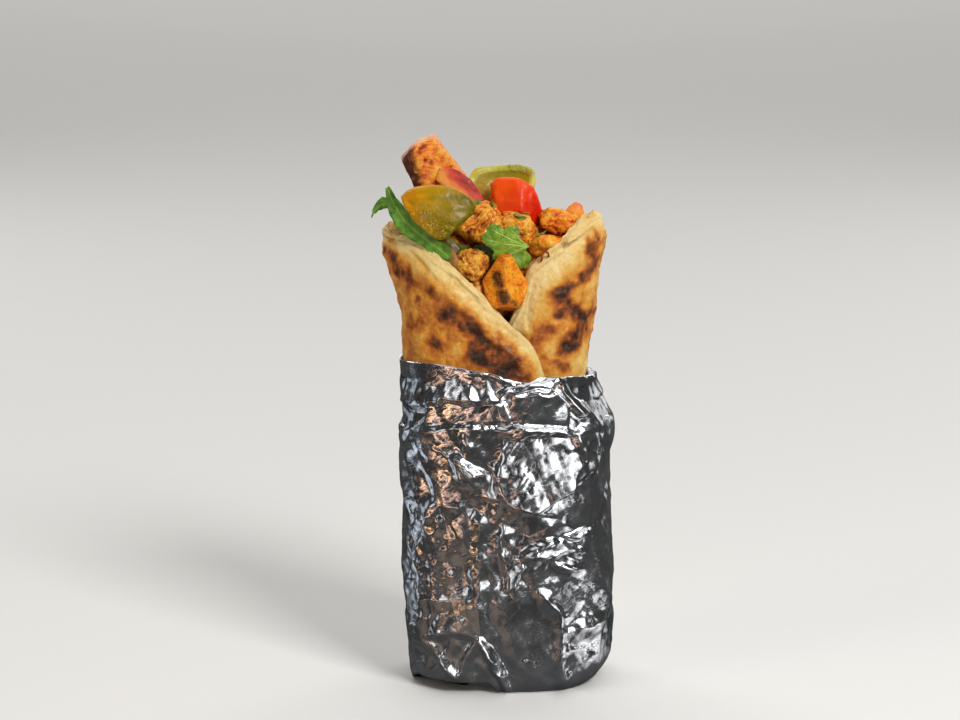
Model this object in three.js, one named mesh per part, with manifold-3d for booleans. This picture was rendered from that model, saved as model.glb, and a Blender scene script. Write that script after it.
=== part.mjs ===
// A kati roll standing on its foil: a flatbread wrapped round a heaped, spiced filling, its lower two
// thirds in crumpled aluminium foil. Millimetres, +Z up. The open V of the bread faces -Y, and the
// origin is the centre of the foil's flat base.
import * as THREE from "three";
import { mergeVertices } from "three/addons/utils/BufferGeometryUtils.js";
import Module from "manifold-3d";

const wasm = await Module();
wasm.setup();

// ---------------------------------------------------------------- driving dimensions

const BREAD_THICKNESS = 4.0;
const LAP_GAP = 0.7; // between the two lapped flaps of bread
const CLEARANCE = 0.4; // between pieces that touch
const BREAD_BOTTOM = 6;
const FOIL_GAP = 0.6; // between the foil and the bread
const FOIL_WALL = 0.4; // the least thickness of the crumpled layers
const FOIL_FLOOR = 5.2; // the end folded under in several layers
const CORE_BOTTOM = 11;

// Where the wrap's axis lies, [height, x].
const AXIS = [
  [6, 0],
  [16, 0],
  [60, -0.4],
  [80, -2.9],
  [95, -4.0],
  [105, -4.2],
  [125, -4.3],
  [160, -4.6],
];

// The outline of the bread at a few heights: how far it reaches to the left, to the right and to the
// front and back of the axis, and how square it is (2 is an ellipse).
const BREAD_OUTLINE = outlineCurves([
  { z: 6, left: 28, right: 26, depth: 18.5, square: 2.6 },
  { z: 16, left: 31, right: 31.5, depth: 21.8, square: 2.6 },
  { z: 60, left: 32, right: 32.2, depth: 22.6, square: 2.6 },
  { z: 80, left: 30.4, right: 32.8, depth: 22.6, square: 2.5 },
  { z: 95, left: 29.3, right: 31, depth: 22.5, square: 2.4 },
  { z: 105, left: 29.6, right: 29.8, depth: 22.5, square: 2.35 },
  { z: 125, left: 31.2, right: 33.2, depth: 22.6, square: 2.05 },
  { z: 149, left: 36.8, right: 36.6, depth: 22, square: 1.65 },
  { z: 160, left: 38, right: 37.2, depth: 21.6, square: 1.6 },
]);

// The outline of the foil, between its folds.
const FOIL_OUTLINE = outlineCurves([
  { z: 0, left: 31.4, right: 27.4, depth: 21.5, square: 2.6 },
  { z: 3, left: 32.4, right: 31.6, depth: 23.2, square: 2.6 },
  { z: 8, left: 33, right: 34.6, depth: 24, square: 2.6 },
  { z: 14, left: 33.2, right: 35.8, depth: 24, square: 2.6 },
  { z: 27, left: 34, right: 35.8, depth: 24, square: 2.6 },
  { z: 53, left: 34.6, right: 35.4, depth: 24, square: 2.6 },
  { z: 67, left: 34.4, right: 35.6, depth: 24, square: 2.55 },
  { z: 83, left: 32.4, right: 37.4, depth: 24, square: 2.5 },
  { z: 90, left: 30.8, right: 36.8, depth: 23.7, square: 2.45 },
  { z: 95, left: 29.9, right: 35, depth: 23.4, square: 2.4 },
  { z: 101, left: 30.2, right: 31.8, depth: 23.2, square: 2.4 },
  { z: 110, left: 30.5, right: 30.6, depth: 23.2, square: 2.35 },
]);

// The bread's top edge, [angle, height]: angle 0 is the right corner, 90 the back, 180 the left corner
// and 270 the front. The right flap starts under the left one and the left flap ends over it.
const TOP_EDGE = [
  [-125, 78],
  [-97, 100],
  [-82, 115],
  [-70, 124],
  [-60, 131.8],
  [-56, 138],
  [-50, 141.1],
  [-30, 148.3],
  [-10, 155.4],
  [0, 155],
  [30, 151],
  [90, 148],
  [130, 150.3],
  [160, 152],
  [174, 151.2],
  [186, 149.2],
  [200, 148.6],
  [214, 145.8],
  [238, 138.4],
  [262, 130.7],
  [286, 121.6],
  [300, 116.4],
  [308, 109.5],
  [313, 101],
  [318, 90],
];

// The foil's top edge, [angle, height], low where it laps over itself at the front right.
const FOIL_TOP = [
  [0, 103],
  [60, 105],
  [120, 106],
  [180, 107.5],
  [225, 109.3],
  [250, 108.2],
  [268, 107],
  [290, 104.2],
  [307, 105.4],
  [340, 103.8],
  [360, 103],
];

// ---------------------------------------------------------------- numbers

const DEGREE = Math.PI / 180;

const clamp = (value, low, high) => Math.min(high, Math.max(low, value));

const mix = (a, b, share) => a + (b - a) * share;

function smoothStep(value, from, to) {
  const t = clamp((value - from) / (to - from), 0, 1);
  return t * t * (3 - 2 * t);
}

// A smooth curve through rising [x, y] points, level past its ends.
function through(points, x) {
  const last = points.length - 1;
  if (x <= points[0][0]) return points[0][1];
  if (x >= points[last][0]) return points[last][1];
  let k = 0;
  while (x > points[k + 1][0]) k++;
  const slope = (i) => {
    const before = points[Math.max(i - 1, 0)];
    const after = points[Math.min(i + 1, last)];
    return (after[1] - before[1]) / (after[0] - before[0]);
  };
  const [x0, y0] = points[k];
  const [x1, y1] = points[k + 1];
  const width = x1 - x0;
  const t = (x - x0) / width;
  const [a, b] = [slope(k) * width, slope(k + 1) * width];
  return y0 + t * (a + t * (3 * (y1 - y0) - 2 * a - b + t * (2 * (y0 - y1) + a + b)));
}

// A repeatable random number from 0 to 1 for a lattice point.
function hash(i, j, k, seed) {
  const s = Math.sin(i * 127.1 + j * 311.7 + k * 74.7 + seed * 19.19) * 43758.5453;
  return s - Math.floor(s);
}

// Smooth noise from -1 to 1.
function noise(x, y, z, seed) {
  const [i, j, k] = [x, y, z].map(Math.floor);
  const [u, v, w] = [x - i, y - j, z - k].map((t) => t * t * (3 - 2 * t));
  const at = (a, b, c) => hash(i + a, j + b, k + c, seed);
  const edge = (b, c) => mix(at(0, b, c), at(1, b, c), u);
  return 2 * mix(mix(edge(0, 0), edge(1, 0), v), mix(edge(0, 1), edge(1, 1), v), w) - 1;
}

// Flat triangular facets with sharp creases, from -1 to 1, that close on themselves after `around` cells.
function facets(u, v, around, seed) {
  const [i, j] = [Math.floor(u), Math.floor(v)];
  const [x, y] = [u - i, v - j];
  const wrapped = (n) => ((n % around) + around) % around;
  const at = (a, b) => 2 * hash(wrapped(i + a), j + b, 0, seed) - 1;
  if (hash(wrapped(i), j, 1, seed) < 0.5) {
    return x > y
      ? at(0, 0) + (at(1, 0) - at(0, 0)) * x + (at(1, 1) - at(1, 0)) * y
      : at(0, 0) + (at(0, 1) - at(0, 0)) * y + (at(1, 1) - at(0, 1)) * x;
  }
  return x + y < 1
    ? at(0, 0) + (at(1, 0) - at(0, 0)) * x + (at(0, 1) - at(0, 0)) * y
    : at(1, 1) + (at(0, 1) - at(1, 1)) * (1 - x) + (at(1, 0) - at(1, 1)) * (1 - y);
}

// ---------------------------------------------------------------- meshes

const WELD = 1e-3; // points closer than this are one
const SLIVER = 0.12; // slivers along a cut are merged within this

function geometryFrom(points, triangles) {
  const geometry = new THREE.BufferGeometry();
  geometry.setAttribute(
    "position",
    new THREE.Float32BufferAttribute(points.flatMap((p) => [p.x, p.y, p.z]), 3),
  );
  geometry.setIndex(triangles.flat());
  return geometry;
}

// A closed skin from one pole through rings of equally many points to the other pole. The rings run
// anticlockwise as seen from the second pole's side.
function ringedSkin(firstPole, rings, lastPole) {
  const count = rings[0].length;
  const points = [firstPole, ...rings.flat(), lastPole];
  const index = (ring, j) => 1 + ring * count + (j % count);
  const triangles = [];
  for (let j = 0; j < count; j++) {
    triangles.push([0, index(0, j + 1), index(0, j)]);
    for (let ring = 0; ring + 1 < rings.length; ring++) {
      const [a, b] = [index(ring, j), index(ring, j + 1)];
      const [d, c] = [index(ring + 1, j), index(ring + 1, j + 1)];
      triangles.push([a, b, c], [a, c, d]);
    }
    triangles.push([index(rings.length - 1, j), index(rings.length - 1, j + 1), points.length - 1]);
  }
  return geometryFrom(points, triangles);
}

// A closed skin over equal profiles, each a closed loop of points. `flat` gives a profile's shape in
// its own plane, for the caps at both ends.
function loftedSkin(profiles, flat) {
  const count = profiles[0].length;
  const index = (column, k) => column * count + (k % count);
  const triangles = [];
  for (let column = 0; column + 1 < profiles.length; column++) {
    for (let k = 0; k < count; k++) {
      const [a, b] = [index(column, k), index(column + 1, k)];
      const [d, c] = [index(column, k + 1), index(column + 1, k + 1)];
      triangles.push([a, b, c], [a, c, d]);
    }
  }
  const lastColumn = profiles.length - 1;
  for (const [a, b, c] of THREE.ShapeUtils.triangulateShape(flat(0), [])) {
    triangles.push([index(0, a), index(0, b), index(0, c)]);
  }
  for (const [a, b, c] of THREE.ShapeUtils.triangulateShape(flat(lastColumn), [])) {
    triangles.push([index(lastColumn, c), index(lastColumn, b), index(lastColumn, a)]);
  }
  return geometryFrom(profiles.flat(), triangles);
}

function solidOf(geometry) {
  const merged = mergeVertices(geometry, WELD);
  return new wasm.Manifold(
    new wasm.Mesh({
      numProp: 3,
      vertProperties: new Float32Array(merged.attributes.position.array),
      triVerts: new Uint32Array(merged.index.array),
    }),
  );
}

function geometryOf(solid) {
  const mesh = solid.getMesh();
  const geometry = new THREE.BufferGeometry();
  geometry.setAttribute("position", new THREE.BufferAttribute(mesh.vertProperties, 3));
  geometry.setIndex(new THREE.BufferAttribute(mesh.triVerts, 1));
  return geometry;
}

const largestBody = (solid) => solid.decompose().sort((a, b) => b.volume() - a.volume())[0];

// A body less all the cutters, without the scraps and slivers that cutting leaves.
function cutClear(body, cutters) {
  const cut = cutters.reduce((rest, cutter) => rest.subtract(cutter), body);
  return largestBody(solidOf(geometryOf(largestBody(cut).simplify(SLIVER))));
}

// ---------------------------------------------------------------- outlines

// The values of an outline's sections as curves over the height.
function outlineCurves(sections) {
  const keys = ["left", "right", "depth", "square"];
  return Object.fromEntries(keys.map((key) => [key, sections.map((section) => [section.z, section[key]])]));
}

// How far an outline lies from its axis at an angle.
function outlineRadius(outline, angle, z) {
  const [along, across] = [Math.cos(angle), Math.sin(angle)];
  const reach = through(along < 0 ? outline.left : outline.right, z);
  const depth = through(outline.depth, z);
  const square = through(outline.square, z);
  return (Math.abs(along / reach) ** square + Math.abs(across / depth) ** square) ** (-1 / square);
}

function axisPoint(angle, radius, z) {
  return new THREE.Vector3(through(AXIS, z) + radius * Math.cos(angle), radius * Math.sin(angle), z);
}

// ---------------------------------------------------------------- bread

const BREAD_COLUMNS = 56;
const RIM_ROUNDING = 1.7;
// Rows of the bread's two faces, as shares of the height under the rounded edge, few where foil or
// filling hides them.
const OUTER_ROWS = [0, 0.4, 0.66, 0.74, 0.81, 0.87, 0.92, 0.96, 1];
const INNER_ROWS = [1, 0.93, 0.84, 0.72, 0.4, 0.08, 0];
// The edge in profile, [share of the thickness, depth under the top]: two flaky layers with a groove
// between them.
const RIM_PROFILE = [
  [0.2, 0],
  [0.5, 1.0],
  [0.8, 0.3],
];

// The right flap tucks in under the left one.
const flapInset = (degrees) => (BREAD_THICKNESS + LAP_GAP) * smoothStep(-degrees, 30, 76);

// The left flap's free edge stands a little proud above the foil.
const flapLift = (degrees, z) => 0.9 * smoothStep(degrees, 255, 300) * smoothStep(z, 105, 112);

function breadProfile(degrees, grow) {
  const angle = degrees * DEGREE;
  const top = through(TOP_EDGE, degrees) + grow;
  const bottom = BREAD_BOTTOM - grow;
  const rimStart = top - RIM_ROUNDING - grow;
  const point = (z, share) => {
    const swell = 0.45 * noise(degrees / 26, z / 13, 0, 4) * smoothStep(z, 104, 110);
    const lie = flapLift(degrees, z) - flapInset(degrees);
    const outer = outlineRadius(BREAD_OUTLINE, angle, z) + lie + swell + grow;
    return axisPoint(angle, outer - share * (BREAD_THICKNESS + 2 * grow), z);
  };
  const height = (share) => mix(bottom, rimStart, share);
  return [
    ...OUTER_ROWS.map((share) => point(height(share), 0)),
    ...RIM_PROFILE.map(([share, drop]) => point(top - drop, share)),
    ...INNER_ROWS.map((share) => point(height(share), 1)),
  ];
}

function breadGeometry(grow = 0) {
  const [first, last] = [TOP_EDGE[0][0] - grow, TOP_EDGE[TOP_EDGE.length - 1][0] + grow];
  const degreesAt = (column) => mix(first, last, column / BREAD_COLUMNS);
  const profiles = [];
  for (let column = 0; column <= BREAD_COLUMNS; column++) {
    profiles.push(breadProfile(degreesAt(column), grow));
  }
  const flat = (column) => {
    const angle = degreesAt(column) * DEGREE;
    return profiles[column].map(
      (p) => new THREE.Vector2(p.x * Math.cos(angle) + p.y * Math.sin(angle), p.z),
    );
  };
  return loftedSkin(profiles, flat);
}

// ---------------------------------------------------------------- foil

const FOIL_COLUMNS = 50;
// Heights of the foil's rows, closer together at the folded end and at the lip of the outer wrap.
const FOIL_ROWS = [
  2, 5, 8.5, 12, 15.5, 19, 22.5, 27, 32, 37, 42, 47, 52, 57, 62, 67, 72, 77, 82, 86, 88.5, 91, 95, 97.5,
];
const RIM_ROWS = 3;
const INNER_FOIL_ROWS = [97, 87, 76, 60, 38, 16, FOIL_FLOOR];

// The foil's folds are ridges along lines of [x, z] on the front or the back. `rise` is how far a ridge
// stands out; it falls away over `above` to the left of its line's direction and `below` to the right.
const FRONT_FOLDS = [
  // the lip of the outer wrap
  { rise: 2.4, above: 2.2, below: 14, line: [[-34, 84], [-31, 87.5], [-15, 89.4], [-2, 87.6], [12, 89.6],
    [21, 87.3], [31, 88.7]] },
  // the lower edge of the collar, arched over the hollow
  { rise: 1.7, above: 8, below: 2, line: [[-31, 94.5], [-20, 98], [-2.5, 97.8]] },
  // the lapped corner
  { rise: 2.3, above: 4, below: 2, line: [[-4, 100.6], [4, 101.4], [12, 102.6], [17.3, 104.3]] },
  { rise: 2.0, above: 5, below: 3.5, line: [[17.3, 104.3], [20.6, 98.9], [26.4, 91], [30, 86]] },
  // the bright facets under the lip
  { rise: 1.6, above: 4, below: 2.5, line: [[-26.4, 82.7], [-18.4, 80.3], [-13.3, 71.8]] },
  { rise: 1.5, above: 3, below: 3, line: [[-20, 81.2], [-9.4, 74.2]] },
  { rise: 2.6, above: 11, below: 2, line: [[1.4, 85.7], [-2.4, 70.3], [1.4, 63.4], [7.2, 61.7]] },
  { rise: 2.2, above: 9, below: 2, line: [[7.2, 61.7], [18.4, 68.1], [28.2, 75.2]] },
  // the star of folds below the middle
  { rise: 1.8, above: 4, below: 2, line: [[-2.4, 53], [0.8, 36.8]] },
  { rise: 2.2, above: 2, below: 6, line: [[5.6, 47.5], [14.3, 51.5], [21, 49.7]] },
  { rise: 1.6, above: 3, below: 3, line: [[14.3, 48.2], [23.4, 41.7]] },
  { rise: 1.3, above: 3, below: 4, line: [[-9.4, 58], [-8.8, 20]] },
  // the crumpled band down the left
  { rise: 1.8, above: 2, below: 8, line: [[-22.3, 58], [-23, 45], [-24.4, 24.5], [-29, 16.5]] },
  // the folded end: an arched crease, a triangular flap and a flange that stands out
  { rise: 1.6, above: 6, below: 2.5, line: [[-28.4, 17.3], [-18.5, 21.6], [-9.4, 19]] },
  { rise: 1.9, above: 2, below: 2, line: [[-28.4, 17.3], [-16.3, 5.6]] },
  { rise: 1.6, above: 2, below: 2, line: [[-9.4, 19], [-16.3, 5.6]] },
  { rise: 3.2, above: 2, below: 2, line: [[-8.8, 19], [1.9, -1]] },
  // the crushed corner on the right
  { rise: 1.7, above: 3, below: 3, line: [[11.8, 33.6], [17.7, 25], [17.3, 2]] },
  { rise: 1.8, above: 2.5, below: 6, line: [[23.6, 21.6], [35, 23.7]] },
];
const BACK_FOLDS = [
  // the end of the sheet, and the lip of the outer wrap
  { rise: 2.0, above: 2, below: 14, line: [[-4, 106], [1, 60], [7, 3]] },
  { rise: 1.9, above: 2.2, below: 12, line: [[-34, 85], [-12, 88.5], [8, 86], [34, 89]] },
  { rise: 1.6, above: 7, below: 2.5, line: [[-30, 52], [-4, 66]] },
  { rise: 1.7, above: 3, below: 8, line: [[6, 60], [30, 44]] },
  { rise: 1.6, above: 8, below: 3, line: [[-26, 26], [2, 34]] },
  { rise: 1.8, above: 4, below: 6, line: [[8, 30], [28, 12]] },
];

// How high a fold stands at x, z.
function foldHeight({ line, rise, above, below }, x, z) {
  let height = 0;
  for (let k = 0; k + 1 < line.length; k++) {
    const [[x0, z0], [x1, z1]] = [line[k], line[k + 1]];
    const [dx, dz] = [x1 - x0, z1 - z0];
    const share = clamp(((x - x0) * dx + (z - z0) * dz) / (dx * dx + dz * dz), 0, 1);
    const distance = Math.hypot(x - x0 - share * dx, z - z0 - share * dz);
    const isAbove = (z - z0) * dx - (x - x0) * dz > 0;
    height = Math.max(height, rise * (1 - distance / (isAbove ? above : below)));
  }
  return height;
}

// How far the foil's folds and crumples stand out from its outline.
function foilRelief(angle, z) {
  const x = axisPoint(angle, outlineRadius(FOIL_OUTLINE, angle, z), z).x;
  const folds = Math.sin(angle) < 0 ? FRONT_FOLDS : BACK_FOLDS;
  const fold = Math.max(...folds.map((each) => foldHeight(each, x, z)));
  const turn = angle / (2 * Math.PI);
  const broad = facets(turn * 11, z / 17 + 0.35 * Math.sin(angle * 2), 11, 3);
  const fine = facets(turn * 30, z / 6.3, 30, 8);
  const sides = Math.cos(angle) ** 4; // calmer where it makes the silhouette
  return (fold + 1.2 * broad + 0.75 * fine) * (1 - 0.55 * sides) - 0.6;
}

function foilOuter(angle, z) {
  const relief = foilRelief(angle, z) * smoothStep(z, -2, 6);
  return Math.max(outlineRadius(FOIL_OUTLINE, angle, z) + relief, foilInner(angle, z) + FOIL_WALL);
}

// Where the foil's inner side lies, against the bread.
const foilInner = (angle, z) => outlineRadius(BREAD_OUTLINE, angle, Math.max(z, BREAD_BOTTOM)) + FOIL_GAP;

// The folded end is tucked up a little at the front left.
function foilBottom(angle) {
  const degrees = angle / DEGREE;
  return 3.9 * smoothStep(degrees, 186, 204) * smoothStep(-degrees, -264, -254);
}

function foilGeometry() {
  const rings = [];
  const addRing = (pointAt) => {
    const turns = Array.from({ length: FOIL_COLUMNS }, (_, j) => j);
    rings.push(turns.map((j) => pointAt((j / FOIL_COLUMNS) * 2 * Math.PI, j)));
  };
  const outer = (angle, z) => axisPoint(angle, foilOuter(angle, z), z);
  const inner = (angle, z) => axisPoint(angle, foilInner(angle, z), z);
  addRing((angle) => axisPoint(angle, outlineRadius(FOIL_OUTLINE, angle, 0) * 0.7, 0));
  addRing((angle) => outer(angle, foilBottom(angle)));
  for (const [row, height] of FOIL_ROWS.entries()) {
    addRing((angle, j) => {
      const turned = angle + ((0.5 * (hash(j, row, 0, 5) - 0.5)) / FOIL_COLUMNS) * 2 * Math.PI;
      return outer(turned, Math.max(height, foilBottom(turned) + 0.4 * (row + 1)));
    });
  }
  const lastRow = FOIL_ROWS[FOIL_ROWS.length - 1];
  for (let row = 1; row <= RIM_ROWS; row++) {
    addRing((angle) => outer(angle, mix(lastRow, through(FOIL_TOP, angle / DEGREE), row / RIM_ROWS)));
  }
  addRing((angle) => inner(angle, through(FOIL_TOP, angle / DEGREE) - 0.5));
  for (const height of INNER_FOIL_ROWS) {
    addRing((angle) => inner(angle, height));
  }
  return ringedSkin(new THREE.Vector3(0, 0, 0), rings, new THREE.Vector3(0, 0, FOIL_FLOOR));
}

// ---------------------------------------------------------------- filling core

const CORE_COLUMNS = 32;
const CORE_ROWS = [22, 60, 80, 97, 108, 124];
const CORE_MARGIN = 1.3; // between the core and the bread
const CORE_SHIFT = 2.2; // its lowest point sits back, clear of the tucked flap

// The filling's surface under the pieces on top: it falls away into the V in front and to the bread's
// edge behind. HEAP_RIDGE is the height of its ridge, [x, height], and HEAP_FALL how far it lies under
// the ridge, [y, fall].
const HEAP_RIDGE = [
  [-30, 155],
  [-22, 159],
  [-8, 157.5],
  [5, 155],
  [18, 150],
  [28, 147],
];
const HEAP_FALL = [
  [-22, 40],
  [-5, 10.5],
  [0, 5.5],
  [6, 0],
  [11, 1],
  [20, 12],
];

function coreTop(x, y) {
  const lumps = 1.3 * noise(x / 5.5, y / 5.5, 0, 11);
  return through(HEAP_RIDGE, x) - through(HEAP_FALL, y) + lumps;
}

// The height of the bread's free edge at an angle, the upper one where the flaps lap.
function breadTop(angle) {
  const degrees = angle / DEGREE;
  return through(TOP_EDGE, degrees > 300 ? degrees - 360 : degrees);
}

function coreGeometry(grow = 0) {
  const corePoint = (angle, z, share) => {
    const front = smoothStep(-Math.sin(angle), 0, 1) * (BREAD_THICKNESS + LAP_GAP);
    const reach = outlineRadius(BREAD_OUTLINE, angle, z) - BREAD_THICKNESS - CORE_MARGIN - front;
    return axisPoint(angle, (reach + grow) * share, z);
  };
  const topPoint = (angle, share) => {
    const { x, y } = corePoint(angle, Math.min(142, breadTop(angle)), share);
    const ceiling = mix(200, breadTop(angle) - 3, smoothStep(share, 0.75, 1));
    return new THREE.Vector3(x, y, Math.min(coreTop(x, y), ceiling) + grow);
  };
  const rings = [];
  const addRing = (pointAt) => {
    const turns = Array.from({ length: CORE_COLUMNS }, (_, j) => (j / CORE_COLUMNS) * 2 * Math.PI);
    rings.push(turns.map(pointAt));
  };
  addRing((angle) => corePoint(angle, CORE_BOTTOM - grow, 0.94));
  for (const [row, height] of CORE_ROWS.entries()) {
    const underTop = (angle) => topPoint(angle, 1).z - 0.8 * (CORE_ROWS.length - row);
    addRing((angle) => corePoint(angle, Math.min(height, underTop(angle)), 1));
  }
  for (const share of [1, 0.86, 0.7, 0.52, 0.34, 0.16]) {
    addRing((angle) => topPoint(angle, share));
  }
  const lowest = new THREE.Vector3(0, CORE_SHIFT, CORE_BOTTOM - grow);
  return ringedSkin(lowest, rings, topPoint(0, 0));
}

// ---------------------------------------------------------------- pieces of the filling

// A piece's own X and Y lie in the picture and its Z faces the viewer; then it is rolled in the picture,
// leaned back, turned about the vertical and moved to its place.
function placing({ at, roll = 0, lean = 0, yaw = 0 }) {
  return new THREE.Matrix4()
    .makeTranslation(...at)
    .multiply(new THREE.Matrix4().makeRotationZ(yaw * DEGREE))
    .multiply(new THREE.Matrix4().makeRotationX((90 - lean) * DEGREE))
    .multiply(new THREE.Matrix4().makeRotationZ(roll * DEGREE));
}

// The six sides of a block, [direction, distance].
const blockSides = ([width, height, depth]) => [
  [[1, 0, 0], width / 2],
  [[-1, 0, 0], width / 2],
  [[0, 1, 0], height / 2],
  [[0, -1, 0], height / 2],
  [[0, 0, 1], depth / 2],
  [[0, 0, -1], depth / 2],
];

// A chunk of meat or cheese: a block, or the body between other `sides`, rounded more the lower `boxy`
// is. `facets` random flat cuts make it angular, and `crags` rough.
function chunk(piece, grow = 0) {
  const { size, sides = blockSides(size), boxy = 3, facets = 0, crags = 0.1, grain = 1.7 } = piece;
  const { seed = 1, detail = 3 } = piece;
  const cuts = Array.from({ length: facets }, (_, k) => {
    const spin = k * 2.4;
    const rise = 1 - (2 * k + 1) / facets;
    const level = Math.sqrt(1 - rise * rise);
    const direction = new THREE.Vector3(level * Math.cos(spin), rise, level * Math.sin(spin));
    const half = Math.hypot(...direction.toArray().map((c, axis) => (c * size[axis]) / 2));
    return [direction.toArray(), half * (0.8 + 0.28 * hash(k, 0, 0, seed))];
  });
  const planes = [...sides, ...cuts].map(([direction, distance]) => [
    new THREE.Vector3(...direction).normalize(),
    distance + grow,
  ]);
  const sphere = new THREE.IcosahedronGeometry(1, detail);
  sphere.deleteAttribute("normal");
  sphere.deleteAttribute("uv");
  const geometry = mergeVertices(sphere, 1e-4);
  const position = geometry.attributes.position;
  const point = new THREE.Vector3();
  for (let i = 0; i < position.count; i++) {
    point.fromBufferAttribute(position, i);
    const shares = planes.map(([normal, distance]) => Math.max(0, normal.dot(point) / distance));
    const bound = shares.reduce((sum, share) => sum + share ** boxy, 0);
    const rough = 1 + crags * noise(point.x * grain + 9, point.y * grain + 9, point.z * grain + 9, seed);
    point.multiplyScalar(rough * bound ** (-1 / boxy));
    position.setXYZ(i, point.x, point.y, point.z);
  }
  return geometry.applyMatrix4(placing(piece));
}

// How far a shape with these corners, [x, y], reaches from its middle at an angle.
function cornerReach(corners, angle) {
  const [dx, dy] = [Math.cos(angle), Math.sin(angle)];
  const reaches = corners.map(([x0, y0], k) => {
    const [x1, y1] = corners[(k + 1) % corners.length];
    const across = dx * (y1 - y0) - dy * (x1 - x0);
    const share = (dy * x0 - dx * y0) / across;
    return share >= 0 && share <= 1 ? (x0 * (y1 - y0) - y0 * (x1 - x0)) / across : 0;
  });
  return Math.max(...reaches);
}

// A slice of pepper or onion, or a leaf: a bowed plate with `corners` round its middle. `bow` lifts its
// middle, `fold` creases it along its height and `ripple` waves it.
function slice(piece, grow = 0) {
  const { corners, thickness, bow = 0, fold = 0, ripple = 0, seed = 1 } = piece;
  const { sectors = 24, steps = [0.5, 0.9] } = piece;
  const size = Math.max(...corners.map(([x, y]) => Math.hypot(x, y)));
  const point = (share, j, face) => {
    const angle = (j / sectors) * 2 * Math.PI;
    const reach = (cornerReach(corners, angle) + grow) * share;
    const [x, y] = [reach * Math.cos(angle), reach * Math.sin(angle)];
    const wave = ripple * noise(x / 3.5, y / 3.5, 5, seed);
    const middle = bow * (1 - (x * x + y * y) / (size * size)) - fold * Math.abs(x) + wave;
    return new THREE.Vector3(x, y, middle + face * (thickness / 2 + grow));
  };
  const ring = (share, face) => Array.from({ length: sectors }, (_, j) => point(share, j, face));
  const rings = [
    ...steps.map((share) => ring(share, -1)),
    ring(1, -0.6),
    ring(1, 0.6),
    ...steps.map((share) => ring(share, 1)).reverse(),
  ];
  return ringedSkin(point(0, 0, -1), rings, point(0, 0, 1)).applyMatrix4(placing(piece));
}

// A narrow leaf or shred along a smooth line through `line`, with its widths along the way. `across`
// is the direction of its width.
function blade(piece, grow = 0) {
  const { line, widths, thickness, across, cup, steps } = piece;
  const curve = new THREE.CatmullRomCurve3(line.map((p) => new THREE.Vector3(...p)));
  const side = new THREE.Vector3(...across).normalize();
  const profiles = [];
  const width = (t) => through(widths, t) / 2 + grow;
  for (let step = 0; step <= steps; step++) {
    const t = step / steps;
    const middle = curve.getPoint(t);
    const out = side.clone().cross(curve.getTangent(t)).normalize();
    const at = (share, face) =>
      middle
        .clone()
        .addScaledVector(side, share * width(t))
        .addScaledVector(out, face * (thickness / 2 + grow) + cup * (1 - share * share) * width(t));
    profiles.push([at(-1, 0), at(-0.5, -1), at(0.5, -1), at(1, 0), at(0.5, 1), at(-0.5, 1)]);
  }
  const flat = (column) => {
    const w = width(column / steps);
    const h = thickness / 2 + grow;
    return [[-w, 0], [-w / 2, -h], [w / 2, -h], [w, 0], [w / 2, h], [-w / 2, h]].map(
      ([x, y]) => new THREE.Vector2(x, y),
    );
  };
  return loftedSkin(profiles, flat);
}

// Leaves on one stem.
function sprig({ leaves, thickness }, grow = 0) {
  return geometryOf(
    leaves.map((leaf) => solidOf(blade({ ...leaf, thickness }, grow))).reduce((all, leaf) => all.add(leaf)),
  );
}

const MEAT = { color: 0xc8692a, roughness: 0.6 };
const CHEESE = { color: 0xe8851c, roughness: 0.5 };
const GREEN_PEPPER = { color: 0x8f8420, roughness: 0.3 };
const RED_PEPPER = { color: 0xd8300c, roughness: 0.3 };
const ONION = { color: 0xb8586a, roughness: 0.35 };
const PALE_ONION = { color: 0xb09088, roughness: 0.4 };
const HERB = { color: 0x3f8a2c, roughness: 0.55 };

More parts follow.
